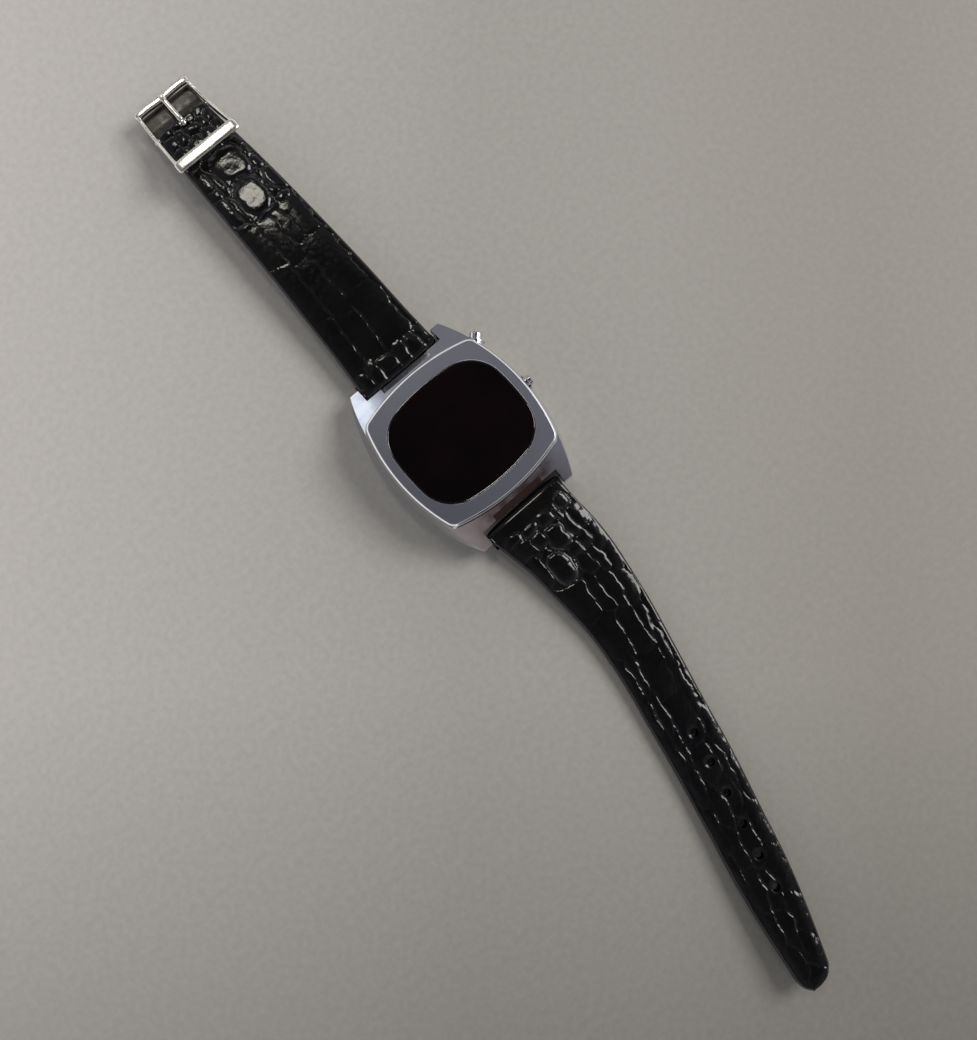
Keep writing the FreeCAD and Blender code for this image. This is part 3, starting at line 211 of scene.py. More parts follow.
# brightness of the room by height of the direction: 0 is level, 1 is straight up
WALLS = [(0.0, (1.0, 0.98, 0.95)), (0.28, (0.95, 0.94, 0.93)), (0.48, (0.62, 0.625, 0.65)),
         (0.66, (0.20, 0.205, 0.23)), (0.88, (0.17, 0.175, 0.205)), (0.975, (0.09, 0.09, 0.105))]
levels = heights.color_ramp.elements
while len(levels) < len(WALLS):
    levels.new(0.5)
for level, (height, tone) in zip(levels, WALLS):
    level.position, level.color = height, (*tone, 1)


def patch(under, toward, low, high, tone):
    """Blend the room towards a tone round one direction: from none of it where the angle's
    cosine is low, to all of it where the cosine is high."""
    near = room.nodes.new("ShaderNodeVectorMath")
    near.operation = "DOT_PRODUCT"
    room.links.new(direction, near.inputs[0])
    near.inputs[1].default_value = np.array(toward) / np.linalg.norm(toward)
    amount = room.nodes.new("ShaderNodeMapRange")
    amount.interpolation_type = "SMOOTHSTEP"
    amount.inputs["From Min"].default_value, amount.inputs["From Max"].default_value = low, high
    room.links.new(near.outputs["Value"], amount.inputs["Value"])
    mixed = room.nodes.new("ShaderNodeMixRGB")
    mixed.inputs["Color2"].default_value = (*tone, 1)
    room.links.new(amount.outputs["Result"], mixed.inputs["Fac"])
    room.links.new(under, mixed.inputs["Color1"])
    return mixed.outputs["Color"]


# direction of each patch, cosines where it begins and where it is full, and its tone
PATCHES = [
    ((-0.02, -0.62, 0.78), 0.978, 0.992, (0.30, 0.25, 0.24)),       # warm, seen in the left lug
    ((0.10, -0.99, 0.08), 0.86, 0.95, (0.030, 0.018, 0.015)),       # brown, past 6 o'clock
    ((0.127, -0.602, 0.79), 0.9985, 0.9995, (0.040, 0.022, 0.020)),  # brown, above that
    ((0.27, 0.75, 0.60), 0.984, 0.994, (0.19, 0.19, 0.21)),         # grey, in the right lug
    ((0.125, 0.973, 0.20), 0.985, 0.992, (0.08, 0.08, 0.09)),       # dark, past 12 o'clock
    ((0.13, 0.02, 0.99), 0.93, 0.985, (0.03, 0.03, 0.033)),         # dark, seen in the lens
]
surrounds = heights.outputs["Color"]
for toward, low, high, tone in PATCHES:
    surrounds = patch(surrounds, toward, low, high, tone)
BACKDROP = (0.74, 0.73, 0.71, 1)
seen = room.nodes.new("ShaderNodeMixRGB")
seen.inputs["Color2"].default_value = BACKDROP
room.links.new(room.nodes.new("ShaderNodeLightPath").outputs["Is Camera Ray"], seen.inputs["Fac"])
room.links.new(surrounds, seen.inputs["Color1"])
room.links.new(seen.outputs["Color"], sky.inputs["Color"])
sky.inputs["Strength"].default_value = 1.05
print("patches in the room:", len(PATCHES))

# %% [markdown]
# Three square lamps: a large window on the right gives the soft shadows, a small warm lamp
# makes the large scales near the buckle glow, and a faint cool one touches the upper lugs.
# %% Lamps


def lamp(name, toward, distance, size, watts, colour):
    """A square lamp that faces the watch from a direction, given as x, y and z."""
    data = bpy.data.lights.new(name, "AREA")
    data.size = size
    data.energy = watts
    data.color = colour
    made = bpy.data.objects.new(name, data)
    scene.collection.objects.link(made)
    way = np.array(toward, float)
    way /= np.linalg.norm(way)
    made.location = way * distance
    made.rotation_euler = made.location.to_track_quat("Z", "Y").to_euler()
    return made


lamp("window", (0.85, -0.20, 0.85), 1.2, 0.56, 9.0, (1.0, 0.98, 0.94))
lamp("ceiling_lamp", (0.12, 0.475, 0.88), 1.3, 0.20, 1.5, (1.0, 0.95, 0.82))
lamp("far_window", (0.03, 0.78, 0.625), 1.3, 0.12, 0.05, (0.85, 0.92, 1.0))
print("lamps:", len(bpy.data.lights))

# %% [markdown]
# Metals are bright because they mirror the room, so their colour is only a tint, and the
# roughness tells them apart: the case is polished, while the bezel's face is satin with
# polished edges. Faint clouds in the roughness stand for wiping marks and wear.
# %% Metal and lens finishes
chrome = Finish("polished_chrome", (0.66, 0.67, 0.71), 0.1, 1.0)
chrome.rough(chrome.noise(260, 4), 0.05, 0.12)
chrome.bump(chrome.noise(90, 2), 0.00004, 0.25)
buckle_chrome = Finish("worn_chrome", (0.80, 0.775, 0.72), 0.22, 1.0)
buckle_chrome.rough(buckle_chrome.noise(600, 4), 0.20, 0.28)
buckle_chrome.bump(buckle_chrome.noise(500, 3), 0.00001, 0.3)

SATIN_FACE, SATIN_EDGE = (0.262, 0.270, 0.330), (0.88, 0.89, 0.92)
satin = Finish("satin_bezel", SATIN_FACE, 0.3, 1.0)
facing = satin.node("NewGeometry").outputs["Normal"]
upward = satin.node("SeparateXYZ")
satin.link(facing, upward.inputs["Vector"])
flatness = satin.remap(upward.outputs["Z"], 0.90, 0.97, 0.0, 1.0)
satin.link(satin.colours(flatness, (0.0, SATIN_EDGE), (1.0, SATIN_FACE)),
           satin.shader.inputs["Base Color"])
satin.link(satin.remap(flatness, 0.0, 1.0, 0.10, 0.34), satin.shader.inputs["Roughness"])
satin.bump(satin.noise(2600, 2), 0.000004, 0.5)

lens_glass = Finish("lens_glass", (0.003, 0.0012, 0.0016), 0.03, IOR=1.5)
lens_glass.link(lens_glass.colours(lens_glass.noise(60, 3), (0.35, (0.0020, 0.0012, 0.0016)),
                                   (0.65, (0.0042, 0.0014, 0.0020))),
                lens_glass.shader.inputs["Base Color"])
steel = Finish("back_steel", (0.55, 0.55, 0.56), 0.3, 1.0)
turned = steel.node("TexWave", wave_type="RINGS", rings_direction="Z", Scale=900.0, Distortion=1.5)
steel.link(steel.place, turned.inputs["Vector"])
steel.bump(turned.outputs["Fac"], 0.000006, 0.35)
steel.rough(steel.noise(300, 4), 0.24, 0.36)
spring = Finish("spring_steel", (0.46, 0.46, 0.47), 0.25, 1.0)
spring.rough(spring.noise(900, 3), 0.2, 0.34)
gold = Finish("gold_contact", (0.75, 0.58, 0.25), 0.25, 1.0)
gold.rough(gold.noise(900, 3), 0.2, 0.34)
cell = Finish("cell_steel", (0.60, 0.60, 0.59), 0.3, 1.0)
cell.rough(cell.noise(500, 4), 0.22, 0.36)

# %% [markdown]
# Inside the case are rubber seals, moulded plastic, a coated board, ceramic and film. No
# one sees them with the case closed, but each still has its own plain finish.
# %% Inner finishes
rubber = Finish("seal_rubber", (0.02, 0.02, 0.02), 0.8)
rubber.rough(rubber.noise(1500, 3), 0.7, 0.88)
plastic = Finish("frame_plastic", (0.03, 0.03, 0.035), 0.5)
plastic.rough(plastic.noise(1800, 2), 0.42, 0.58)
plastic.bump(plastic.noise(4000, 2), 0.00001, 0.4)
board = Finish("board_green", (0.04, 0.16, 0.09), 0.4)
board.link(board.colours(board.noise(700, 3), (0.35, (0.03, 0.13, 0.07)),
                         (0.65, (0.05, 0.18, 0.10))),
           board.shader.inputs["Base Color"])
ceramic = Finish("display_ceramic", (0.10, 0.09, 0.09), 0.5)
ceramic.rough(ceramic.noise(2500, 3), 0.42, 0.6)
dice = Finish("digit_red", (0.35, 0.02, 0.02), 0.3)
dice.rough(dice.noise(2500, 3), 0.25, 0.4)
cover = Finish("clear_cover", (0.5, 0.1, 0.1), 0.08, Transmission_Weight=0.8)
cover.rough(cover.noise(400, 3), 0.04, 0.12)
chip = Finish("chip_black", (0.02, 0.02, 0.02), 0.55)
chip.rough(chip.noise(3000, 3), 0.45, 0.65)
film = Finish("insulator_film", (0.75, 0.68, 0.35), 0.35)
film.rough(film.noise(500, 3), 0.25, 0.45)

# %% [markdown]
# The strap is black crocodile with a high gloss: nearly black itself, it shows the room as
# narrow highlights. The gloss is a clear coat over a rougher skin, and fine pores and
# hairline wrinkles, finer than the mesh, come from bump. The flap under the buckle is
# smooth leather with a softer gloss, and the lining is smooth and dull.
# %% Leather finishes
leather = Finish("black_leather", (0.004, 0.004, 0.0045), 0.2, Coat_Weight=0.12,
                 Coat_Roughness=0.06, IOR=1.42)
leather.link(leather.colours(leather.noise(160, 3), (0.35, (0.003, 0.003, 0.0035)),
                             (0.7, (0.006, 0.0055, 0.005))), leather.shader.inputs["Base Color"])
leather.rough(leather.noise(900, 4), 0.07, 0.15)
leather.bump(leather.noise(5200, 2), 0.000010, 0.5)
leather.bump(leather.noise(1500, 3), 0.000035, 0.5)
lining = Finish("lining_leather", (0.03, 0.025, 0.022), 0.55)
lining.rough(lining.noise(2500, 4), 0.5, 0.65)
lining.bump(lining.noise(6000, 3), 0.00002, 0.5)
smooth_leather = Finish("flap_leather", (0.016, 0.012, 0.010), 0.3)
smooth_leather.link(smooth_leather.colours(smooth_leather.noise(300, 3),
                                           (0.35, (0.012, 0.009, 0.007)),
                                           (0.65, (0.026, 0.019, 0.015))),
                    smooth_leather.shader.inputs["Base Color"])
smooth_leather.rough(smooth_leather.noise(900, 3), 0.24, 0.36)
smooth_leather.bump(smooth_leather.noise(3500, 3), 0.00002, 0.4)
felt = Finish("padding_felt", (0.10, 0.09, 0.08), 0.9)
felt.rough(felt.noise(4000, 4), 0.85, 0.95)

FINISHES = {"polished_chrome": chrome, "brushed_chrome": satin, "red_lens": lens_glass,
            "seal_rubber": rubber, "back_steel": steel, "frame_plastic": plastic,
            "board_green": board, "display_ceramic": ceramic, "digit_red": dice,
            "clear_cover": cover, "chip_black": chip, "gold_contact": gold, "cell_steel": cell,
            "insulator_film": film, "spring_steel": spring, "black_leather": leather,
            "padding_felt": felt, "lining_leather": lining, "flap_leather": smooth_leather}
for row in frame["record"]["subparts"]:
    part = nodes[row["node"]]
    part.data.materials.clear()
    part.data.materials.append(FINISHES[row["material_slot"]].material)
print("finishes:", len(FINISHES))

# %% [markdown]
# The strap is a ribbon of leather that starts under the lug's spring bar, turns round it
# and runs on along the top. Its route repeats the one that the hard model was built from.
# %% Routes of the two strap pieces
BAR_Y, BAR_Z = 20.1, 3.0
PIVOT_Y, PIVOT_Z = 89.4, 4.8
# run from the lug's spring bar, sideways, height of the middle, half width, thickness
ROUTE_12 = np.array([
    (0.0, 0.00, BAR_Z, 9.70, 3.60),
    (8.0, 0.20, 3.36, 9.20, 3.54),
    (20.0, 0.45, 4.10, 8.75, 3.28),
    (34.0, 0.50, 4.83, 8.17, 2.96),
    (49.9, 0.30, 5.20, 7.55, 2.70),
    (59.6, 0.10, 5.06, 7.05, 2.62),
    (65.1, 0.02, 4.91, 6.61, 2.60),
    (69.3, 0.00, PIVOT_Z, 6.30, 2.60),
])
ROUTE_6 = np.array([
    (0.0, 0.00, BAR_Z, 9.70, 3.60),
    (5.7, 0.55, 2.75, 9.15, 3.54),
    (10.3, 1.05, 2.52, 8.90, 3.44),
    (17.0, 1.10, 2.15, 8.55, 3.21),
    (22.0, 0.88, 1.95, 8.05, 3.05),
    (28.0, 0.45, 1.75, 7.48, 2.92),
    (40.0, -1.50, 1.50, 6.75, 2.74),
    (52.0, -4.10, 1.42, 6.48, 2.65),
    (64.0, -6.72, 1.45, 6.38, 2.57),
    (76.0, -9.80, 1.85, 6.11, 2.50),
    (88.0, -13.00, 2.65, 5.88, 2.42),
    (99.0, -16.10, 3.75, 4.92, 2.35),
    (106.0, -18.10, 4.60, 4.05, 2.33),
])
# share of the half width to the right, and run onwards from the last row
TAIL_TIP = np.array([(1.0, 0.0), (0.90, 2.0), (0.62, 3.65), (0.16, 4.65), (-0.36, 5.1),
                     (-0.74, 3.95), (-0.95, 1.8), (-1.0, 0.0)])


def smooth(knots, values, at):
    """Values on a smooth line through knots: each span is the cubic that keeps the value
    and the slope at both of its ends, with slopes taken from the neighbours."""
    knots, values, at = (np.asarray(a, float) for a in (knots, values, at))
    slopes = np.gradient(values, knots)
    span = np.clip(np.searchsorted(knots, at, side="right") - 1, 0, len(knots) - 2)
    width = knots[span + 1] - knots[span]
    t = (at - knots[span]) / width
    return (values[span] * (1 + 2 * t) * (1 - t) ** 2 + values[span + 1] * t * t * (3 - 2 * t)
            + width * (slopes[span] * t * (1 - t) ** 2 + slopes[span + 1] * t * t * (t - 1)))


print("strap lengths %.1f and %.1f mm" % (ROUTE_12[-1, 0], ROUTE_6[-1, 0] + TAIL_TIP[:, 1].max()))

# %% [markdown]
# Crocodile leather is a skin of flat scales with pressed creases between them. Each scale
# is a seed point with its own length and width. A spot on the strap belongs to the seed
# that is nearest when distances are measured in that scale's own size, and a crease runs
# where the two nearest seeds are almost equally far. The seeds follow the real strap:
# big square scales at the ends, and long narrow ones in between. Fullness says how far a
# scale bulges. The fullest ones have a flat top, and so mirror one lamp all over.
# %% Scale seeds
# run from the lug's spring bar, across (right is plus), half length, half width, fullness
SCALES_12 = np.array([
    # pleats at the lugs
    (2.2, -7.6, 2.0, 1.6, 1.0), (2.4, -4.6, 2.0, 1.5, 1.0), (2.0, -1.2, 2.0, 2.0, 1.0),
    (2.3, 2.4, 2.0, 1.7, 1.0), (2.1, 5.6, 2.0, 1.6, 1.0), (2.6, 8.4, 2.0, 1.3, 1.0),
    # long flat scales in the middle
    (10.5, -7.4, 7.0, 2.6, 0.3), (10.0, -1.9, 6.5, 2.3, 0.3), (11.0, 4.2, 7.5, 3.2, 0.3),
    (9.0, 8.8, 5.0, 1.0, 0.3), (24.5, -6.6, 7.5, 2.4, 0.3), (22.5, -1.6, 7.0, 2.1, 0.3),
    (26.0, 4.0, 7.5, 3.2, 0.3), (23.5, 8.3, 6.0, 1.0, 0.3), (37.0, -6.2, 5.2, 2.4, 0.3),
    (35.5, -1.5, 5.6, 1.7, 0.3), (37.5, 1.5, 4.0, 1.2, 0.3), (38.0, 5.0, 5.0, 2.2, 0.3),
    (36.0, 7.9, 5.5, 0.7, 0.3),
    # a ridge, then the large square scales and their small neighbours
    (42.4, -5.8, 1.0, 1.8, 1.0), (42.1, 0.8, 0.9, 2.4, 1.3), (42.6, 5.2, 1.0, 1.6, 1.0),
    (47.0, 0.3, 4.0, 3.2, 1.5), (47.4, 6.4, 3.0, 1.5, 1.5), (45.2, 4.3, 1.5, 0.8, 0.8),
    (50.4, 4.3, 1.3, 0.8, 1.2), (46.3, -4.1, 2.8, 0.7, 0.9), (47.9, -6.0, 3.2, 1.2, 0.9),
    (55.4, 1.3, 3.9, 3.6, 1.5), (52.2, 5.7, 1.2, 0.9, 0.9), (55.4, 5.8, 1.6, 0.8, 1.1),
    (54.0, -3.5, 2.8, 0.8, 1.2), (56.4, -5.5, 2.6, 1.2, 0.8), (52.0, -5.7, 1.4, 1.2, 0.8),
    (58.7, 5.4, 1.6, 0.9, 0.9), (60.3, 0.8, 0.7, 2.8, 1.2), (60.5, -4.2, 0.9, 1.5, 0.9),
    (60.7, 4.9, 0.9, 1.1, 0.9),
    # small scales between the keeper bar and the spring bar
    (63.6, -4.6, 1.6, 1.4, 0.9), (63.2, -1.2, 1.5, 1.8, 0.9), (63.4, 2.4, 1.5, 1.7, 0.9),
    (63.8, 5.2, 1.6, 1.1, 0.9), (66.6, -4.9, 1.5, 1.1, 0.9), (66.2, -2.5, 1.4, 1.2, 0.9),
    (66.8, 0.4, 1.3, 1.5, 0.9), (66.4, 3.1, 1.6, 1.0, 0.9), (66.9, 5.2, 1.4, 1.0, 0.9),
    (69.6, -4.4, 1.5, 1.5, 0.8), (69.4, -1.6, 1.3, 1.1, 0.8), (69.9, 1.6, 1.4, 1.3, 0.8),
    (69.5, 4.4, 1.5, 1.4, 0.8),
])
SCALES_6 = np.array([
    # folded band, ridges and the two round scales
    (0.6, 0.0, 2.4, 9.5, 0.2), (3.6, -7.0, 1.0, 2.4, 0.8), (3.9, -2.6, 0.9, 2.2, 1.2),
    (4.3, 1.4, 1.1, 1.6, 1.2), (3.2, 6.6, 2.6, 1.4, 1.6), (5.6, 3.7, 2.6, 0.7, 1.2),
    (6.6, -6.4, 2.0, 2.3, 0.8), (6.8, -2.8, 1.5, 1.4, 0.8), (8.6, 0.4, 2.8, 2.4, 2.0),
    (8.6, 4.2, 2.4, 1.0, 0.9), (8.2, 6.9, 3.0, 1.4, 0.9), (11.8, -7.0, 2.8, 1.1, 0.5),
    (14.4, -3.4, 3.6, 2.5, 2.0), (13.2, 1.3, 1.7, 1.5, 0.8), (12.6, 4.2, 1.8, 1.1, 0.8),
    (14.0, 7.0, 3.2, 1.7, 0.6), (17.2, 1.5, 2.2, 1.3, 0.5), (18.4, 4.2, 3.0, 1.1, 0.5),
    (19.5, 7.0, 2.8, 1.6, 0.5),
    # flat scales, then long ones in three to five columns
    (21.5, -4.6, 3.6, 2.6, 0.4), (22.4, -0.6, 3.6, 1.4, 0.4), (23.0, 2.5, 4.0, 1.4, 0.4),
    (25.0, 5.4, 4.0, 1.5, 0.4), (24.5, 7.8, 2.4, 0.8, 0.4), (33.0, -3.4, 4.2, 2.4, 0.4),
    (34.5, 1.0, 4.0, 1.9, 0.4), (34.5, 4.2, 3.4, 1.0, 0.5), (33.0, 6.8, 3.6, 1.1, 0.4),
    (39.5, 4.6, 4.0, 0.8, 0.4), (40.0, 6.3, 4.0, 0.7, 0.4), (42.0, -5.3, 5.5, 0.9, 0.4),
    (41.5, -3.3, 4.5, 0.9, 0.4), (44.0, 0.4, 4.8, 2.3, 0.4), (49.5, 4.5, 6.0, 1.0, 0.4),
    (47.5, 6.0, 5.5, 0.7, 0.4), (50.0, -5.0, 5.0, 0.8, 0.4), (52.0, -3.0, 6.0, 1.0, 0.4),
    (55.0, 0.4, 5.5, 2.3, 0.4), (59.5, -4.8, 5.5, 1.1, 0.4), (60.0, 4.9, 5.5, 1.2, 0.4),
    (58.0, -2.6, 4.4, 0.9, 0.4), (64.5, 0.2, 5.0, 2.0, 0.4), (65.5, 3.6, 4.5, 1.1, 0.4),
    (66.5, -3.9, 4.5, 1.2, 0.4), (70.5, 5.4, 5.0, 0.9, 0.4), (72.0, -1.4, 5.0, 1.4, 0.4),
    (73.0, 1.9, 4.5, 1.5, 0.4), (75.0, -4.6, 5.0, 1.1, 0.4), (79.5, 4.2, 5.0, 1.6, 0.4),
    (80.5, -2.4, 5.0, 1.4, 0.4), (81.5, 0.9, 5.0, 1.6, 0.4), (84.5, -4.8, 4.0, 0.9, 0.4),
    (89.0, 3.4, 5.0, 1.8, 0.4), (90.0, -2.9, 4.6, 1.5, 0.4), (91.5, 0.4, 4.6, 1.4, 0.4),
    (97.0, -3.2, 4.0, 1.2, 0.4), (97.5, 2.9, 4.4, 1.6, 0.4), (99.5, -0.4, 4.4, 1.5, 0.4),
    (104.5, 2.0, 3.8, 1.5, 0.5), (105.0, -1.9, 3.8, 1.4, 0.5), (109.5, -0.2, 2.6, 2.0, 0.5),
])


def ripple(run, across, seed, size):
    """A smooth random field: a sum of eight plane waves of about the given size, each with
    its own direction and phase. It makes straight lines wander."""
    draw = np.random.default_rng(seed)
    turn, phase = draw.uniform(0, math.tau, (2, 8))
    pace = math.tau / (size * draw.uniform(0.7, 1.6, 8))
    waves = np.sin(pace * (run[..., None] * np.cos(turn) + across[..., None] * np.sin(turn))
                   + phase)
    return waves.mean(-1)


# %% [markdown]
# The grain's height is the sum of four parts: domes, creases, a slight lean of each scale,
# and wrinkles. Straight creases would look drawn, so the spot is shifted by a ripple first.
# %% Grain of the leather
# depth and half width of a crease, and height of a dome, in mm
CREASE_DEPTH, CREASE_HALF, DOME = 0.24, 0.12, 0.17
# scales fuller than the first have a flat top, and up to the second they face the lamp
FLAT_TOP, FACING_TOP = 1.4, 1.8
# steepest random lean of a scale, and the lean of those that face the lamp
LEAN, FACING_LEAN = 0.025, 0.025
# distances inside a scale are measured by this power, which makes scales nearly square
SQUARENESS = 2.6


def scale_relief(run, across, seeds):
    """Height of the grain in mm: a dome on each scale, less a narrow groove where the
    nearest and the second nearest seed are level, plus a lean and faint wrinkles."""
    u = run + 0.9 * ripple(run, across, 3, 6.0) + 0.3 * ripple(run, across, 4, 1.8)
    v = across + 0.7 * ripple(run, across, 5, 5.0) + 0.25 * ripple(run, across, 6, 1.6)
    near, second = np.full(u.shape, 1e9), np.full(u.shape, 1e9)
    first, other = np.zeros(u.shape, int), np.zeros(u.shape, int)
    for index, (along_seed, side, length, width) in enumerate(seeds[:, :4]):
        far = (np.abs((u - along_seed) / length) ** SQUARENESS
               + np.abs((v - side) / width) ** SQUARENESS) ** 0.385
        nearer, between = far < near, (far >= near) & (far < second)
        other = np.where(nearer, first, np.where(between, index, other))
        second = np.where(nearer, near, np.where(between, far, second))
        first, near = np.where(nearer, index, first), np.minimum(near, far)
    size, full = seeds[:, 2:4].min(1), seeds[:, 4]
    fullness = full[first]
    flat = fullness > FLAT_TOP
    # creases: shallow between flat scales that follow each other, and uneven along their way
    gap = (second - near) / (1 / size[first] + 1 / size[other])
    apart = np.abs(seeds[first] - seeds[other])
    lengthwise = apart[..., 0] < 1.2 * apart[..., 1]
    shared = (fullness + full[other]) / 2
    depth = 0.75 + 0.25 * np.sin(7.3 * (first + other) + 3.1 * first * other)
    depth = depth * np.where(lengthwise, 1, np.clip(shared ** 1.6, 0.1, 1))
    depth = depth * np.clip(0.75 + 1.1 * ripple(run, across, 12, 2.6), 0.15, 1.2)
    groove = np.exp(-(gap / CREASE_HALF) ** 2) * depth
    dome = np.clip(1 - near ** np.where(flat, 7, 2), -0.4, 1) * fullness
    tilt = np.random.default_rng(8).uniform(-1, 1, (len(seeds), 2))[first]
    past, beside = u - seeds[first, 0], v - seeds[first, 1]
    lean = LEAN * (tilt[..., 0] * past + tilt[..., 1] * beside) * np.clip(fullness, 0.3, 1)
    lean = lean - np.where(flat & (fullness < FACING_TOP), FACING_LEAN * past, 0)
    wrinkle = 0.04 * ripple(run, across * 0.4, 9, 1.4) + 0.02 * ripple(run, across, 10, 0.8)
    wrinkle = wrinkle * np.where(flat, 0.45, np.clip(fullness * 1.1, 0.25, 1))
    return DOME * dome - CREASE_DEPTH * groove + lean + wrinkle


print("scales: %d and %d" % (len(SCALES_12), len(SCALES_6)))

# %% [markdown]
# The strap's outline is two smooth lines, one per edge, square to the route. The tail's
# round tip carries both lines on until they almost meet.
# %% Outline of the strap
TIP_STEPS, TIP_REACH = 46, 0.985


def strap_rows(route, direction, pitch, tip):
    """Left end and right end of each row across the strap. Rows are square to the
    route, and past its last row they join two points that go round the tip together."""
    runs = np.linspace(0, route[-1, 0], int(route[-1, 0] / pitch) + 1)
    drift, half = smooth(route[:, 0], route[:, 1], runs), smooth(route[:, 0], route[:, 3], runs)
    slope = np.gradient(drift, runs)
    slope[0] = 0
    if not len(tip):
        slope[-1] = 0
    size = np.hypot(slope, 1)
    square = np.stack([np.ones(len(runs)), -slope * direction], 1) / size[:, None]
    middle = np.stack([drift, direction * (BAR_Y + runs)], 1)
    left, right = middle - square * half[:, None], middle + square * half[:, None]
    if len(tip):
        apex = int(np.argmax(tip[:, 1]))
        onward = np.array([slope[-1], direction]) / size[-1]
        sides = []
        for part in (tip[apex:][::-1], tip[:apex + 1]):
            steps = np.hypot(*(np.diff(part * (half[-1], 1), axis=0).T))
            way = np.concatenate([[0], np.cumsum(steps)])
            at = np.linspace(0, way[-1] * TIP_REACH, TIP_STEPS)[1:]
            share, on = smooth(way, part[:, 0], at), smooth(way, part[:, 1], at)
            sides.append(middle[-1] + square[-1] * (share * half[-1])[:, None]
                         + onward * on[:, None])
        left, right = np.concatenate([left, sides[0]]), np.concatenate([right, sides[1]])
    return left, right


def edge_distance(points, left, right):
    """Distance from each point to the nearest point of the outline, in mm."""
    border = np.concatenate([left, right])
    flat = points.reshape(-1, 2)
    return np.concatenate([np.hypot(*(part[:, None] - border[None]).transpose(2, 0, 1)).min(1)
                           for part in np.array_split(flat, 1 + len(flat) // 4000)]
                          ).reshape(points.shape[:-1])


def spread(columns, evenness):
    """Places across from -1 to 1: even steps mixed with a sine, which is finer at edges."""
    even = np.linspace(-1, 1, columns)
    return evenness * even + (1 - evenness) * np.sin(even * math.pi / 2)


left, right = strap_rows(ROUTE_12, 1, 1.0, [])
print("12 o'clock strap %.1f mm wide at the lugs" % np.hypot(*(right[0] - left[0])))

# %% [markdown]
# The leather is one ribbon: a tab under the spring bar, a turn round the bar, then the
# padded top, high in the middle, thinner towards the edges and rounded where the skin is
# turned under. The top and the underside are two sheets of rows that share their ends.
# %% Leather skin
# radius of the turned edge, and how much lower the edge is, as a share of the half height
EDGE_ROUND, CROWN = 0.55, 0.27
# outer radius of the turn at each bar, and the radius of the hole for the bar
LUG_LOOP, BUCKLE_LOOP, LOOP_HOLE = 1.76, 1.30, 0.80
LINING, TAB, GLUE = 0.8, 2.6, 0.02
UNDER_COLUMNS, LOOP_STEPS = 14, 18
# length of the round tail, and width of the edge where the grain fades
TAIL_END, GRAIN_FADE = 12, 0.7
# how a hole dishes the leather: where the grain starts, its fade, depth and reach
DISH_START, DISH_FADE, DISH_DEPTH, DISH_REACH = 0.85, 0.8, 0.16, 1.25


def loop_rows(ends, y, z, outer, drop, across, under, way):
    """Rows of the top and of the underside that turn half round a bar, and a tab row
    beside it. Each column keeps its place along the bar and stands off it by the outer
    radius, less the drop of its edge, or by the hole's radius."""
    angles = np.radians(np.linspace(-90, -270, LOOP_STEPS + 1)[:-1])
    cosine, sine = np.cos(angles)[:, None], np.sin(angles)[:, None]
    sheets = []
    for places, radius in ((across, outer - drop), (under, np.full(len(under), LOOP_HOLE))):
        x = (ends[0][0] + ends[1][0]) / 2 + places * (ends[1][0] - ends[0][0]) / 2
        rows = np.stack([np.broadcast_to(x, (len(angles), len(x))),
                         y + cosine * radius * way, z + sine * radius], -1)
        tab = rows[:1] + (0, way * TAB, 0)
        sheets.append(np.concatenate([tab, rows]))
    return sheets


def strap_height(route, y):
    """Height of the route's middle, carried on straight past its end, and half thickness."""
    run = np.abs(y) - BAR_Y
    base = np.clip(run, 0, route[-1, 0])
    end_slope = (route[-1, 2] - route[-2, 2]) / (route[-1, 0] - route[-2, 0])
    return (smooth(route[:, 0], route[:, 2], base) + end_slope * (run - base),
            smooth(route[:, 0], route[:, 4], base) / 2)


def quarter(away, radius):
    """How much lower a rounded edge is at a distance from its rim: a quarter circle."""
    bend = np.clip(radius - away, 0, radius)
    return radius - np.sqrt(np.clip(radius ** 2 - bend ** 2, 0, None))


def edge_drop(away, thick, wide):
    """Fall of the padded top towards its edge: a parabola, then the turned edge."""
    padded = CROWN * thick * (1 - np.clip(away / (0.6 * wide), 0, 1)) ** 2
    return padded + quarter(away, EDGE_ROUND)


def bar_arch(low, away, z):
    """Lift the underside over a bar: a half circle round it, flat along the glued tab."""
    arch = z + np.sqrt(np.clip(LOOP_HOLE ** 2 - away ** 2, 0, None))
    return np.where(away < LOOP_HOLE, arch, np.where(away < TAB, z - LOOP_HOLE + GLUE, low))


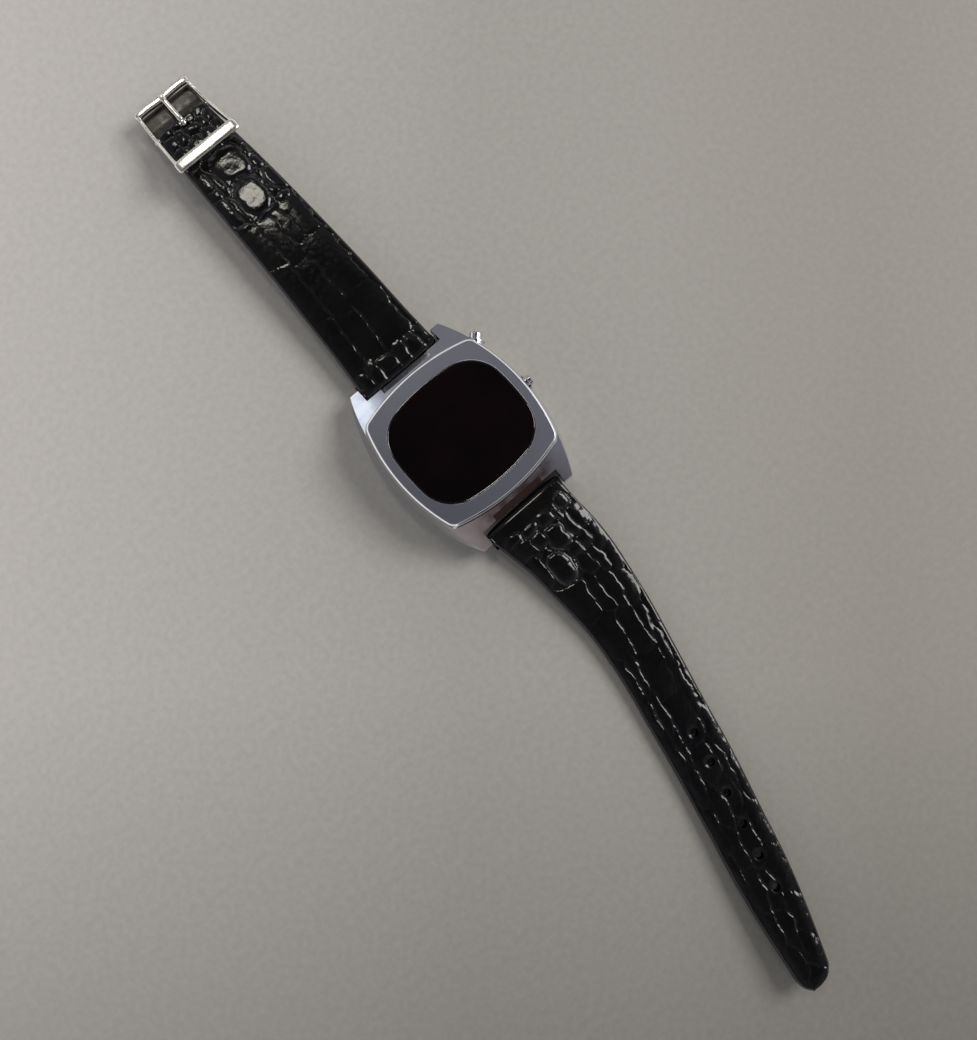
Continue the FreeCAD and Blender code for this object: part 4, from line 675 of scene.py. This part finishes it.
def strap_leather(route, direction, seeds, tip, columns, pitch, holes=(), far_bar=None):
    """Points and faces of the padded strap as one closed skin, in mm: the route's height
    and half thickness, less the edge's drop, plus the grain, with a dish at each hole."""
    left, right = strap_rows(route, direction, pitch, tip)
    across, under = spread(columns, 0.45), np.linspace(-1, 1, UNDER_COLUMNS)
    middle, half = (left + right) / 2, (right - left) / 2
    top_xy = middle[:, None] + across[None, :, None] * half[:, None]
    low_xy = middle[:, None] + under[None, :, None] * half[:, None]
    width = np.hypot(*half.T)
    edge = (1 - np.abs(across))[None] * width[:, None]
    if len(tip):
        tail = np.abs(top_xy[:, len(across) // 2, 1]) - BAR_Y > route[-1, 0] - TAIL_END
        edge[tail] = edge_distance(top_xy[tail], left, right)

    z_mid, thick = strap_height(route, top_xy[..., 1])
    run = np.abs(top_xy[..., 1]) - BAR_Y
    side = top_xy[..., 0] - smooth(route[:, 0], route[:, 1], np.clip(run, 0, route[-1, 0]))
    relief = scale_relief(run, side, seeds) * np.clip(edge / GRAIN_FADE, 0.3, 1)
    for x, y in holes:
        away = np.hypot(top_xy[..., 0] - x, top_xy[..., 1] - y)
        relief = (relief * np.clip((away - DISH_START) / DISH_FADE, 0, 1)
                  - DISH_DEPTH * np.exp(-(away / DISH_REACH) ** 4))
    top = z_mid + thick - edge_drop(edge, thick, width[:, None]) + relief

    low_mid, low_thick = strap_height(route, low_xy[..., 1])
    near = np.abs(low_xy[..., 1]) - BAR_Y
    low = bar_arch(low_mid - low_thick + LINING + GLUE, near, BAR_Z)
    if far_bar is not None:
        low = bar_arch(low, route[-1, 0] - near, far_bar[1])
    tops, lows = [np.dstack([top_xy, top])], [np.dstack([low_xy, low])]

    growth = np.linspace(0, 1, LOOP_STEPS + 1)[:, None] ** 2
    turned = loop_rows((left[0], right[0]), direction * BAR_Y, BAR_Z, LUG_LOOP,
                       edge_drop(edge[0], thick[0], width[0]), across, under, direction)
    turned[0][..., 2] += (relief[0] * 0.9 + thick[0] - LUG_LOOP)[None] * growth
    tops.insert(0, turned[0])
    lows.insert(0, turned[1])
    if far_bar is not None:
        turned = loop_rows((left[-1], right[-1]), *far_bar, BUCKLE_LOOP,
                           edge_drop(edge[-1], thick[-1], width[-1]), across, under, -direction)
        turned[0][..., 2] += relief[-1][None] * growth
        tops.append(turned[0][::-1])
        lows.append(turned[1][::-1])
    return closed_skin(np.concatenate(tops), np.concatenate(lows), direction)


print("leather skin: edge rounded by %.2f mm" % EDGE_ROUND)

# %% [markdown]
# Every soft piece is closed the same way: its top and its underside are joined by their
# long edges, and each end gets one face. A piece is then shown on the body that carries it.
# %% Closed skins


def closed_skin(top, low, direction):
    """Join the top and the underside by their long edges and close both ends. Two more
    columns per side make the turned edge a little fuller than a straight line."""
    sides = []
    for column in (-1, 0):
        high, deep = top[:, column], low[:, column]
        outward = (top[:, column] - top[:, top.shape[1] // 2])
        outward = outward / np.linalg.norm(outward, axis=1)[:, None] * (1, 1, 0)
        sides.append([high * (1 - share) + deep * share + outward * bulge
                      for share, bulge in ((0.33, 0.05), (0.75, 0.02))])
    ring = np.concatenate([top, np.stack(sides[0], 1), low[:, ::-1],
                           np.stack(sides[1], 1)[:, ::-1]], 1)
    rows, columns = ring.shape[:2]
    faces = strip_faces(rows, columns)
    if direction > 0:
        faces = faces[:, ::-1]
    ends = [list(range(columns)), list(range((rows - 1) * columns, rows * columns))[::-1]]
    if direction < 0:
        ends = [end[::-1] for end in ends]
    return ring.reshape(-1, 3), faces.tolist() + ends


def strip_faces(rows, columns):
    """Four-cornered faces between neighbouring rows of closed rings of points."""
    i, j = np.meshgrid(np.arange(rows - 1), np.arange(columns), indexing="ij")
    k = (j + 1) % columns
    return np.stack([i * columns + j, i * columns + k, (i + 1) * columns + k,
                     (i + 1) * columns + j], -1).reshape(-1, 4)


def mesh_of(name, points, faces):
    mesh = bpy.data.meshes.new(name)
    mesh.from_pydata((np.asarray(points) * MM).tolist(), [], faces)
    mesh.validate()
    return mesh


def show(name, mesh, material, body, slot, *replaced, cutter=None, crisp=None):
    """Put a mesh into the scene on a body of the model. A cutter is a mesh whose shape is
    taken away from it first. Crisp is an angle in degrees above which edges stay sharp."""
    piece = bpy.data.objects.new(name, mesh)
    scene.collection.objects.link(piece)
    if cutter is not None:
        tool = bpy.data.objects.new("cutter", cutter)
        scene.collection.objects.link(tool)
        change = piece.modifiers.new("cut", "BOOLEAN")
        change.object, change.operation, change.solver = tool, "DIFFERENCE", "EXACT"
        view = bpy.context.evaluated_depsgraph_get()
        mesh = bpy.data.meshes.new_from_object(piece.evaluated_get(view))
        piece.modifiers.clear()
        piece.data = mesh
        bpy.data.objects.remove(tool)
    mesh.polygons.foreach_set("use_smooth", [True] * len(mesh.polygons))
    if crisp:
        mesh.set_sharp_from_angle(angle=math.radians(crisp))
    mesh.materials.clear()
    mesh.materials.append(material)
    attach(piece, body)
    if replaced:
        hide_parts(*replaced)
    print("%-24s %6d faces" % (name, len(mesh.polygons)))
    return piece


# %% [markdown]
# The leather of both straps is punched or slotted after it is made: the tail has six round
# holes for the buckle's tongue, and the buckle end has a slot that the tongue swings in.
# %% Leather of both straps
HOLE_FIRST, HOLE_PITCH, HOLE_SIDE, HOLE_COUNT, HOLE_RADIUS = 57.6, 6.72, 1.15, 6, 0.85
SLOT_HALF, SLOT_BACK = 0.95, 1.75
hole_runs = HOLE_FIRST + HOLE_PITCH * np.arange(HOLE_COUNT)
hole_drift = np.interp(hole_runs, ROUTE_6[:, 0], ROUTE_6[:, 1])
HOLES = np.stack([hole_drift + HOLE_SIDE, -(BAR_Y + hole_runs)], 1)


def posts(centres, radius, low, high, sides=40):
    """Upright round bars, one per centre, as one mesh."""
    turn = np.linspace(0, math.tau, sides, endpoint=False)
    points, faces = [], []
    for number, (x, y) in enumerate(centres):
        for z in (low, high):
            points.append(np.stack([x + radius * np.cos(turn), y + radius * np.sin(turn),
                                    np.full(sides, z)], 1))
        start = number * 2 * sides
        faces += (strip_faces(2, sides) + start).tolist()
        faces += [list(range(start, start + sides))[::-1],
                  list(range(start + sides, start + 2 * sides))]
    return mesh_of("posts", np.concatenate(points), faces)


def slab(low, high):
    """A box between two corners."""
    (x0, y0, z0), (x1, y1, z1) = low, high
    points = [(x0, y0, z0), (x1, y0, z0), (x1, y1, z0), (x0, y1, z0),
              (x0, y0, z1), (x1, y0, z1), (x1, y1, z1), (x0, y1, z1)]
    return mesh_of("slab", points, [(0, 3, 2, 1), (4, 5, 6, 7), (0, 1, 5, 4), (1, 2, 6, 5),
                                    (2, 3, 7, 6), (3, 0, 4, 7)])


tongue_slot = slab((-SLOT_HALF, PIVOT_Y - SLOT_BACK, PIVOT_Z - 6),
                   (SLOT_HALF, PIVOT_Y + 3, PIVOT_Z + 6))
points, faces = strap_leather(ROUTE_12, 1, SCALES_12, [], 128, 0.21,
                              far_bar=(PIVOT_Y, PIVOT_Z))
show("strap_12_skin", mesh_of("strap_12_skin", points, faces), leather.material, "strap_12",
     "black_leather", "strap_12_leather", "strap_12_padding", cutter=tongue_slot)
points, faces = strap_leather(ROUTE_6, -1, SCALES_6, TAIL_TIP, 124, 0.25, holes=HOLES)
show("strap_6_skin", mesh_of("strap_6_skin", points, faces), leather.material, "strap_6",
     "black_leather", "strap_6_leather", "strap_6_padding",
     cutter=posts(HOLES, HOLE_RADIUS, -3, 12))

# %% [markdown]
# The lining is a thinner skin under the padded leather, cut a little smaller than it, with
# the same holes. It starts behind the turned loop at the bar.
# %% Lining
LINING_INSET, LINING_ROUND = 0.14, 0.35
LINING_PITCH, LINING_START = 0.8, 2.05


def strap_lining(route, direction, tip, stop):
    """Points and faces of the lining: a flat strip that follows the strap's underside,
    with its lower edges eased by a quarter circle."""
    left, right = strap_rows(route, direction, LINING_PITCH, tip)
    runs = np.abs((left[:, 1] + right[:, 1]) / 2) - BAR_Y
    keep = (runs > LINING_START) & (runs < stop)
    left, right = left[keep], right[keep]
    middle, half = (left + right) / 2, (right - left) / 2
    width = np.hypot(*half.T)
    half = half * (np.clip(width - LINING_INSET, 0.02, None) / width)[:, None]
    across = spread(26, 0.4)
    xy = middle[:, None] + across[None, :, None] * half[:, None]
    middle_height, half_thick = strap_height(route, xy[..., 1])
    under = middle_height - half_thick
    away = (1 - np.abs(across))[None] * np.hypot(*half.T)[:, None]
    return closed_skin(np.dstack([xy, under + LINING]),
                       np.dstack([xy, under + quarter(away, LINING_ROUND)]), direction)


points, faces = strap_lining(ROUTE_12, 1, [], ROUTE_12[-1, 0] - 1.6)
show("strap_12_backing", mesh_of("strap_12_backing", points, faces), lining.material, "strap_12",
     "lining_leather", "strap_12_lining")
points, faces = strap_lining(ROUTE_6, -1, TAIL_TIP, math.inf)
show("strap_6_backing", mesh_of("strap_6_backing", points, faces), lining.material, "strap_6",
     "lining_leather", "strap_6_lining", cutter=posts(HOLES, HOLE_RADIUS, -3, 12))

# %% [markdown]
# Beyond the spring bar a smooth tongue of leather lies under the buckle's outer bar. It
# comes out from below the strap, swells a little, and ends just under the bar.
# %% Smooth leather under the outer bar
FLAP_HALF, FLAP_TOP, FLAP_END, FLAP_THICK = 6.55, 3.62, 7.0, 0.8
FLAP_TAB, TAB_TOP, TAB_THICK, TAB_STOP = 9.0, 3.44, 0.6, 1.6
FLAP_ROUND, FLAP_CROWN = 0.4, 0.10
FLAP_ROWS, FLAP_COLUMNS, FLAP_UNDER = 120, 44, 12
# place past the bar, and height of the flap's top there
flap_y = np.array([-FLAP_TAB, -8.6, -4.0, 0.4, 1.6, 2.2, 3.2, 4.6, 6.0, 6.7, FLAP_END])
flap_high = np.array([TAB_TOP - 0.3, TAB_TOP, TAB_TOP, TAB_TOP, TAB_TOP, 3.5, FLAP_TOP, FLAP_TOP,
                      FLAP_TOP - 0.05, FLAP_TOP - 0.12, FLAP_TOP - 0.34])
flap_at = np.linspace(-FLAP_TAB, FLAP_END, FLAP_ROWS)[:, None]
flap_share = spread(FLAP_COLUMNS, 0.4)[None]
flap_drop = (quarter((1 - np.abs(flap_share)) * FLAP_HALF, FLAP_ROUND)
             + FLAP_CROWN * np.abs(flap_share) ** 3)
flap_x, flap_along = np.broadcast_arrays(flap_share * FLAP_HALF, flap_at)
grain = 0.012 * ripple(flap_along, flap_x, 21, 2.0)
flap_top = smooth(flap_y, flap_high, flap_at) - flap_drop + grain
under_x, under_along = np.broadcast_arrays(
    np.linspace(-1, 1, FLAP_UNDER)[None] * (FLAP_HALF - 0.05), flap_at)
flap_low = np.where(under_along < TAB_STOP, TAB_TOP - TAB_THICK, FLAP_TOP - FLAP_THICK)
points, faces = closed_skin(np.dstack([flap_x, PIVOT_Y + flap_along, flap_top]),
                            np.dstack([under_x, PIVOT_Y + under_along, flap_low]), 1)
show("strap_12_flap_skin", mesh_of("strap_12_flap_skin", points, faces), smooth_leather.material,
     "strap_12", "flap_leather", "strap_12_underlay_flap")

# %% [markdown]
# The bezel is a cushion-shaped ring. Its outline is four wide arcs whose corners are
# rounded. Each ring of points is found along rays from the centre, where the distance to
# the outline reaches the wanted inset, and the rings follow the ring's profile: a foot
# that flares onto the case, the wall, a polished bevel, the satin face, and a fine bevel and
# a wall round the lens.
# %% Bezel ring
# half width, half height, where two arcs would cross, and the radius that rounds the corner
BEZEL_SHAPE = (16.55, 15.85, 14.20, 13.60, 2.4)
LENS_SHAPE = (14.10, 12.20, 13.00, 10.20, 8.0)
DECK_Z, BEZEL_TOP_Z = 9.4, 11.0


def cushion_gap(x, y, shape):
    """Signed distance to a cushion outline. Off the corners it is how far a point is outside
    the nearer arc. At a corner it is the distance from the middle of the circle that rounds
    the corner, less that circle's radius. That middle is where both arcs, drawn smaller by
    the radius, cross."""
    half_x, half_y, corner_x, corner_y, fillet = shape
    x, y = np.abs(x), np.abs(y)
    side = (corner_y ** 2 + (half_x - corner_x) ** 2) / (2 * (half_x - corner_x))
    end = (corner_x ** 2 + (half_y - corner_y) ** 2) / (2 * (half_y - corner_y))
    side_at, end_at = np.array([half_x - side, 0.0]), np.array([0.0, half_y - end])
    apart = np.linalg.norm(end_at - side_at)
    ahead = (end_at - side_at) / apart
    along = ((side - fillet) ** 2 - (end - fillet) ** 2 + apart ** 2) / (2 * apart)
    middle = (side_at + along * ahead
              + math.sqrt((side - fillet) ** 2 - along ** 2) * np.array([-ahead[1], ahead[0]]))
    dx, dy = x - middle[0], y - middle[1]
    first, last = middle - side_at, middle - end_at
    corner = (first[0] * dy - first[1] * dx > 0) & (dx * last[1] - dy * last[0] > 0)
    arcs = np.maximum(np.hypot(x - side_at[0], y) - side, np.hypot(x, y - end_at[1]) - end)
    return np.where(corner, np.hypot(dx, dy) - fillet, arcs)


def cushion_ring(shape, inset, z, turns):
    """A closed ring of points at an inset from the outline, found by halving along rays."""
    low, high = np.full(len(turns), 2.0), np.full(len(turns), 30.0)
    for _ in range(40):
        far = (low + high) / 2
        outside = cushion_gap(far * np.cos(turns), far * np.sin(turns), shape) > -inset
        high, low = np.where(outside, far, high), np.where(outside, low, far)
    return np.stack([far * np.cos(turns), far * np.sin(turns), np.full(len(turns), z)], 1)


turns = np.linspace(0, math.tau, 360, endpoint=False)
count = len(turns)
BEVEL_WIDE, BEVEL_DEEP, SOFT = 0.42, 0.34, 0.04
# inset from the bezel's outline, and height
outer_profile = [(0.2, DECK_Z), (-0.30, DECK_Z - 0.34), (-0.20, DECK_Z), (-0.09, DECK_Z + 0.5),
                 (-0.02, BEZEL_TOP_Z - BEVEL_DEEP - 0.1), (0.02, BEZEL_TOP_Z - BEVEL_DEEP),
                 (BEVEL_WIDE * 0.33, BEZEL_TOP_Z - BEVEL_DEEP * 0.60),
                 (BEVEL_WIDE * 0.66, BEZEL_TOP_Z - BEVEL_DEEP * 0.26),
                 (BEVEL_WIDE, BEZEL_TOP_Z - 0.012), (BEVEL_WIDE + SOFT, BEZEL_TOP_Z),
                 (1.5, BEZEL_TOP_Z)]
# inset from the lens's outline, and height
inner_profile = [(-0.26, BEZEL_TOP_Z), (-0.21, BEZEL_TOP_Z - 0.01), (-0.06, BEZEL_TOP_Z - 0.14),
                 (-0.04, BEZEL_TOP_Z - 0.2), (-0.04, DECK_Z)]
rings = np.stack([cushion_ring(BEZEL_SHAPE, inset, z, turns) for inset, z in outer_profile]
                 + [cushion_ring(LENS_SHAPE, inset, z, turns) for inset, z in inner_profile])
ring_faces = strip_faces(len(rings) + 1, count) % (len(rings) * count)
show("bezel_ring", mesh_of("bezel_ring", rings.reshape(-1, 3), ring_faces.tolist()),
     satin.material, "watch_head", "brushed_chrome", "bezel_plate", crisp=9)

# %% [markdown]
# The lens is a plate of dark red glass with the same kind of outline. Its polished edge is
# eased in two steps, and its face is flat.
# %% Lens
LENS_LOW_Z, LENS_TOP_Z = 9.36, 11.08
lens_profile = [(0.0, LENS_LOW_Z), (0.0, BEZEL_TOP_Z - 0.06), (0.04, LENS_TOP_Z - 0.05),
                (0.13, LENS_TOP_Z - 0.01), (0.26, LENS_TOP_Z), (6.0, LENS_TOP_Z)]
rings = np.stack([cushion_ring(LENS_SHAPE, inset, z, turns) for inset, z in lens_profile])
lens_faces = strip_faces(len(rings), count).tolist()
lens_faces += [list(range(count))[::-1], list(range((len(rings) - 1) * count, len(rings) * count))]
show("lens_plate", mesh_of("lens_plate", rings.reshape(-1, 3), lens_faces), lens_glass.material,
     "watch_head", "red_lens", "lens", crisp=12)

# %% [markdown]
# The buckle is bent from rod and strip. Each bar is a rounded section carried along a
# smooth path: the outer rod, two arms that rise to the keeper bar, and the keeper itself,
# which is flatter and has sloping ends. The tongue is a tapered rod with an eye.
# %% Buckle


def swept(path, wide, high, up, sides=24, power=2.6, close=False):
    """A rounded section carried along a path. The section is a superellipse with half
    sizes wide and high at each place, and up says which way is high."""
    path, up = np.asarray(path, float), np.asarray(up, float)
    ahead = np.gradient(path, axis=0)
    if close:
        ahead = np.roll(path, -1, 0) - np.roll(path, 1, 0)
    ahead /= np.linalg.norm(ahead, axis=1)[:, None]
    side = np.cross(ahead, up)
    side /= np.linalg.norm(side, axis=1)[:, None]
    upward = np.cross(side, ahead)
    turn = np.linspace(0, math.tau, sides, endpoint=False)
    cosine, sine = np.cos(turn), np.sin(turn)
    size = (np.abs(cosine) ** power + np.abs(sine) ** power) ** (-1 / power)
    flat, tall = cosine * size, sine * size
    wide, high = (np.broadcast_to(v, len(path))[:, None, None] for v in (wide, high))
    ring = path[:, None] + side[:, None] * flat[None, :, None] * wide \
        + upward[:, None] * tall[None, :, None] * high
    rows = len(path)
    faces = strip_faces(rows, sides)[:, ::-1].tolist()
    if close:
        last, first = (rows - 1) * sides + np.arange(sides), np.arange(sides)
        joint = np.stack([np.roll(first, -1), np.roll(last, -1), last, first], 1)
        faces += joint[:, ::-1].tolist()
    else:
        faces += [list(range(sides)), list(range((rows - 1) * sides, rows * sides))[::-1]]
    return ring.reshape(-1, 3), faces


def line(knots, count):
    """A smooth path through a few points, with even steps of its parameter."""
    knots = np.asarray(knots, float)
    way = np.concatenate([[0], np.cumsum(np.linalg.norm(np.diff(knots, axis=0), axis=1))])
    at = np.linspace(0, way[-1], count)
    return np.stack([smooth(way, knots[:, axis], at) for axis in range(3)], 1)


def end_caps(count, ease, least):
    """Share of full size along a bar whose ends are rounded off over some of its rows."""
    at = np.arange(count)
    near = np.clip(np.minimum(at, count - 1 - at) / ease, 0, 1)
    return least + (1 - least) * np.sqrt(1 - (1 - near) ** 2)


def joined(shells):
    """One list of points and faces from several closed shells."""
    points, faces, start = [], [], 0
    for some_points, some_faces in shells:
        points.append(some_points)
        faces += [[corner + start for corner in face] for face in some_faces]
        start += len(some_points)
    return np.concatenate(points), faces


def at_pivot(knots):
    return np.asarray(knots, float) + (0, PIVOT_Y, PIVOT_Z)


def bar(knots, rows, wide, high, sides, power, cap, high_cap=None):
    """A section of half sizes wide and high, carried upright along a smooth path past the
    buckle's pivot. A cap says over how many rows an end grows, and from what share."""
    return swept(line(at_pivot(knots), rows), wide * end_caps(rows, *cap),
                 high * end_caps(rows, *(high_cap or cap)), (0, 0, 1), sides, power)


# %% [markdown]
# The frame is one piece of five bars: the outer rod, two arms that splay a little towards
# the head, each with a round boss at the spring bar, and the wide flat keeper.
# %% Buckle frame
ARM_X, ARM_SPLAY, ARM_ROWS = 6.95, math.tan(math.radians(3.2)), 70
# place past the pivot, and height
arm_line = [(7.3, -0.05), (6.4, 0.0), (3.2, 0.05), (0.0, 0.2), (-3.4, 1.2), (-6.6, 3.0),
            (-8.4, 4.05), (-9.3, 4.3)]
arm_high = smooth([0, 8, 24, 42, 56, 69], [0.72, 0.74, 0.95, 1.15, 0.85, 0.5],
                  np.arange(ARM_ROWS))
shells = [bar([(-7.15, 7.0, -0.05), (-6.6, 7.1, 0), (0, 7.14, 0.02), (6.6, 7.1, 0),
               (7.15, 7.0, -0.05)], 60, 0.80, 0.66, 28, 3.4, (4, 0.35))]
for side in (-1, 1):
    shells.append(bar([(side * (ARM_X - y * ARM_SPLAY), y, z) for y, z in arm_line],
                      ARM_ROWS, 0.42, arm_high, 24, 3.2, (4, 0.4)))
    shells.append(bar([(side * x, 0, 0) for x in (6.1, 6.9, 7.55)], 16, 0.62, 0.62, 24, 2.0,
                      (4, 0.3)))
shells.append(bar([(-7.96, -9.1, 4.2), (-7.2, -9.1, 4.42), (-6.4, -9.1, 4.48), (0, -9.1, 4.50),
                   (6.4, -9.1, 4.48), (7.2, -9.1, 4.42), (7.96, -9.1, 4.2)],
                  80, 1.34, 0.44, 36, 3.4, (5, 0.62), (4, 0.5)))
points, faces = joined(shells)
show("buckle_frame_skin", mesh_of("buckle_frame_skin", points, faces), buckle_chrome.material,
     "buckle_frame", "polished_chrome", "buckle_frame")

# %% [markdown]
# The tongue's blade lies over the frame and rests on the rod. Its root is a flat band bent
# into an eye round the spring bar, a closed loop of the same kind of section.
# %% Buckle tongue
BLADE_ROWS, EYE_ROWS, EYE_RADIUS = 60, 48, 1.04
blade_rows = np.arange(BLADE_ROWS)
shells = [bar([(0, 0.2, 1.02), (0, 1.2, 1.16), (0, 3.4, 1.18), (0, 5.6, 1.2), (0, 6.9, 1.32),
               (0, 7.5, 1.22)], BLADE_ROWS,
              smooth([0, 10, 26, 44, 53, 59], [0.62, 0.52, 0.54, 0.50, 0.62, 0.5], blade_rows),
              smooth([0, 20, 44, 59], [0.42, 0.36, 0.34, 0.36], blade_rows), 24, 2.3, (4, 0.3))]
eye_turn = np.linspace(0, math.tau, EYE_ROWS, endpoint=False)
outward = np.stack([np.zeros(EYE_ROWS), np.cos(eye_turn), np.sin(eye_turn)], 1)
shells.append(swept(at_pivot(EYE_RADIUS * outward), 0.50, 0.20, outward, 20, 2.6, close=True))
points, faces = joined(shells)
show("buckle_tongue_skin", mesh_of("buckle_tongue_skin", points, faces), buckle_chrome.material,
     "buckle_tongue", "polished_chrome", "buckle_tongue")
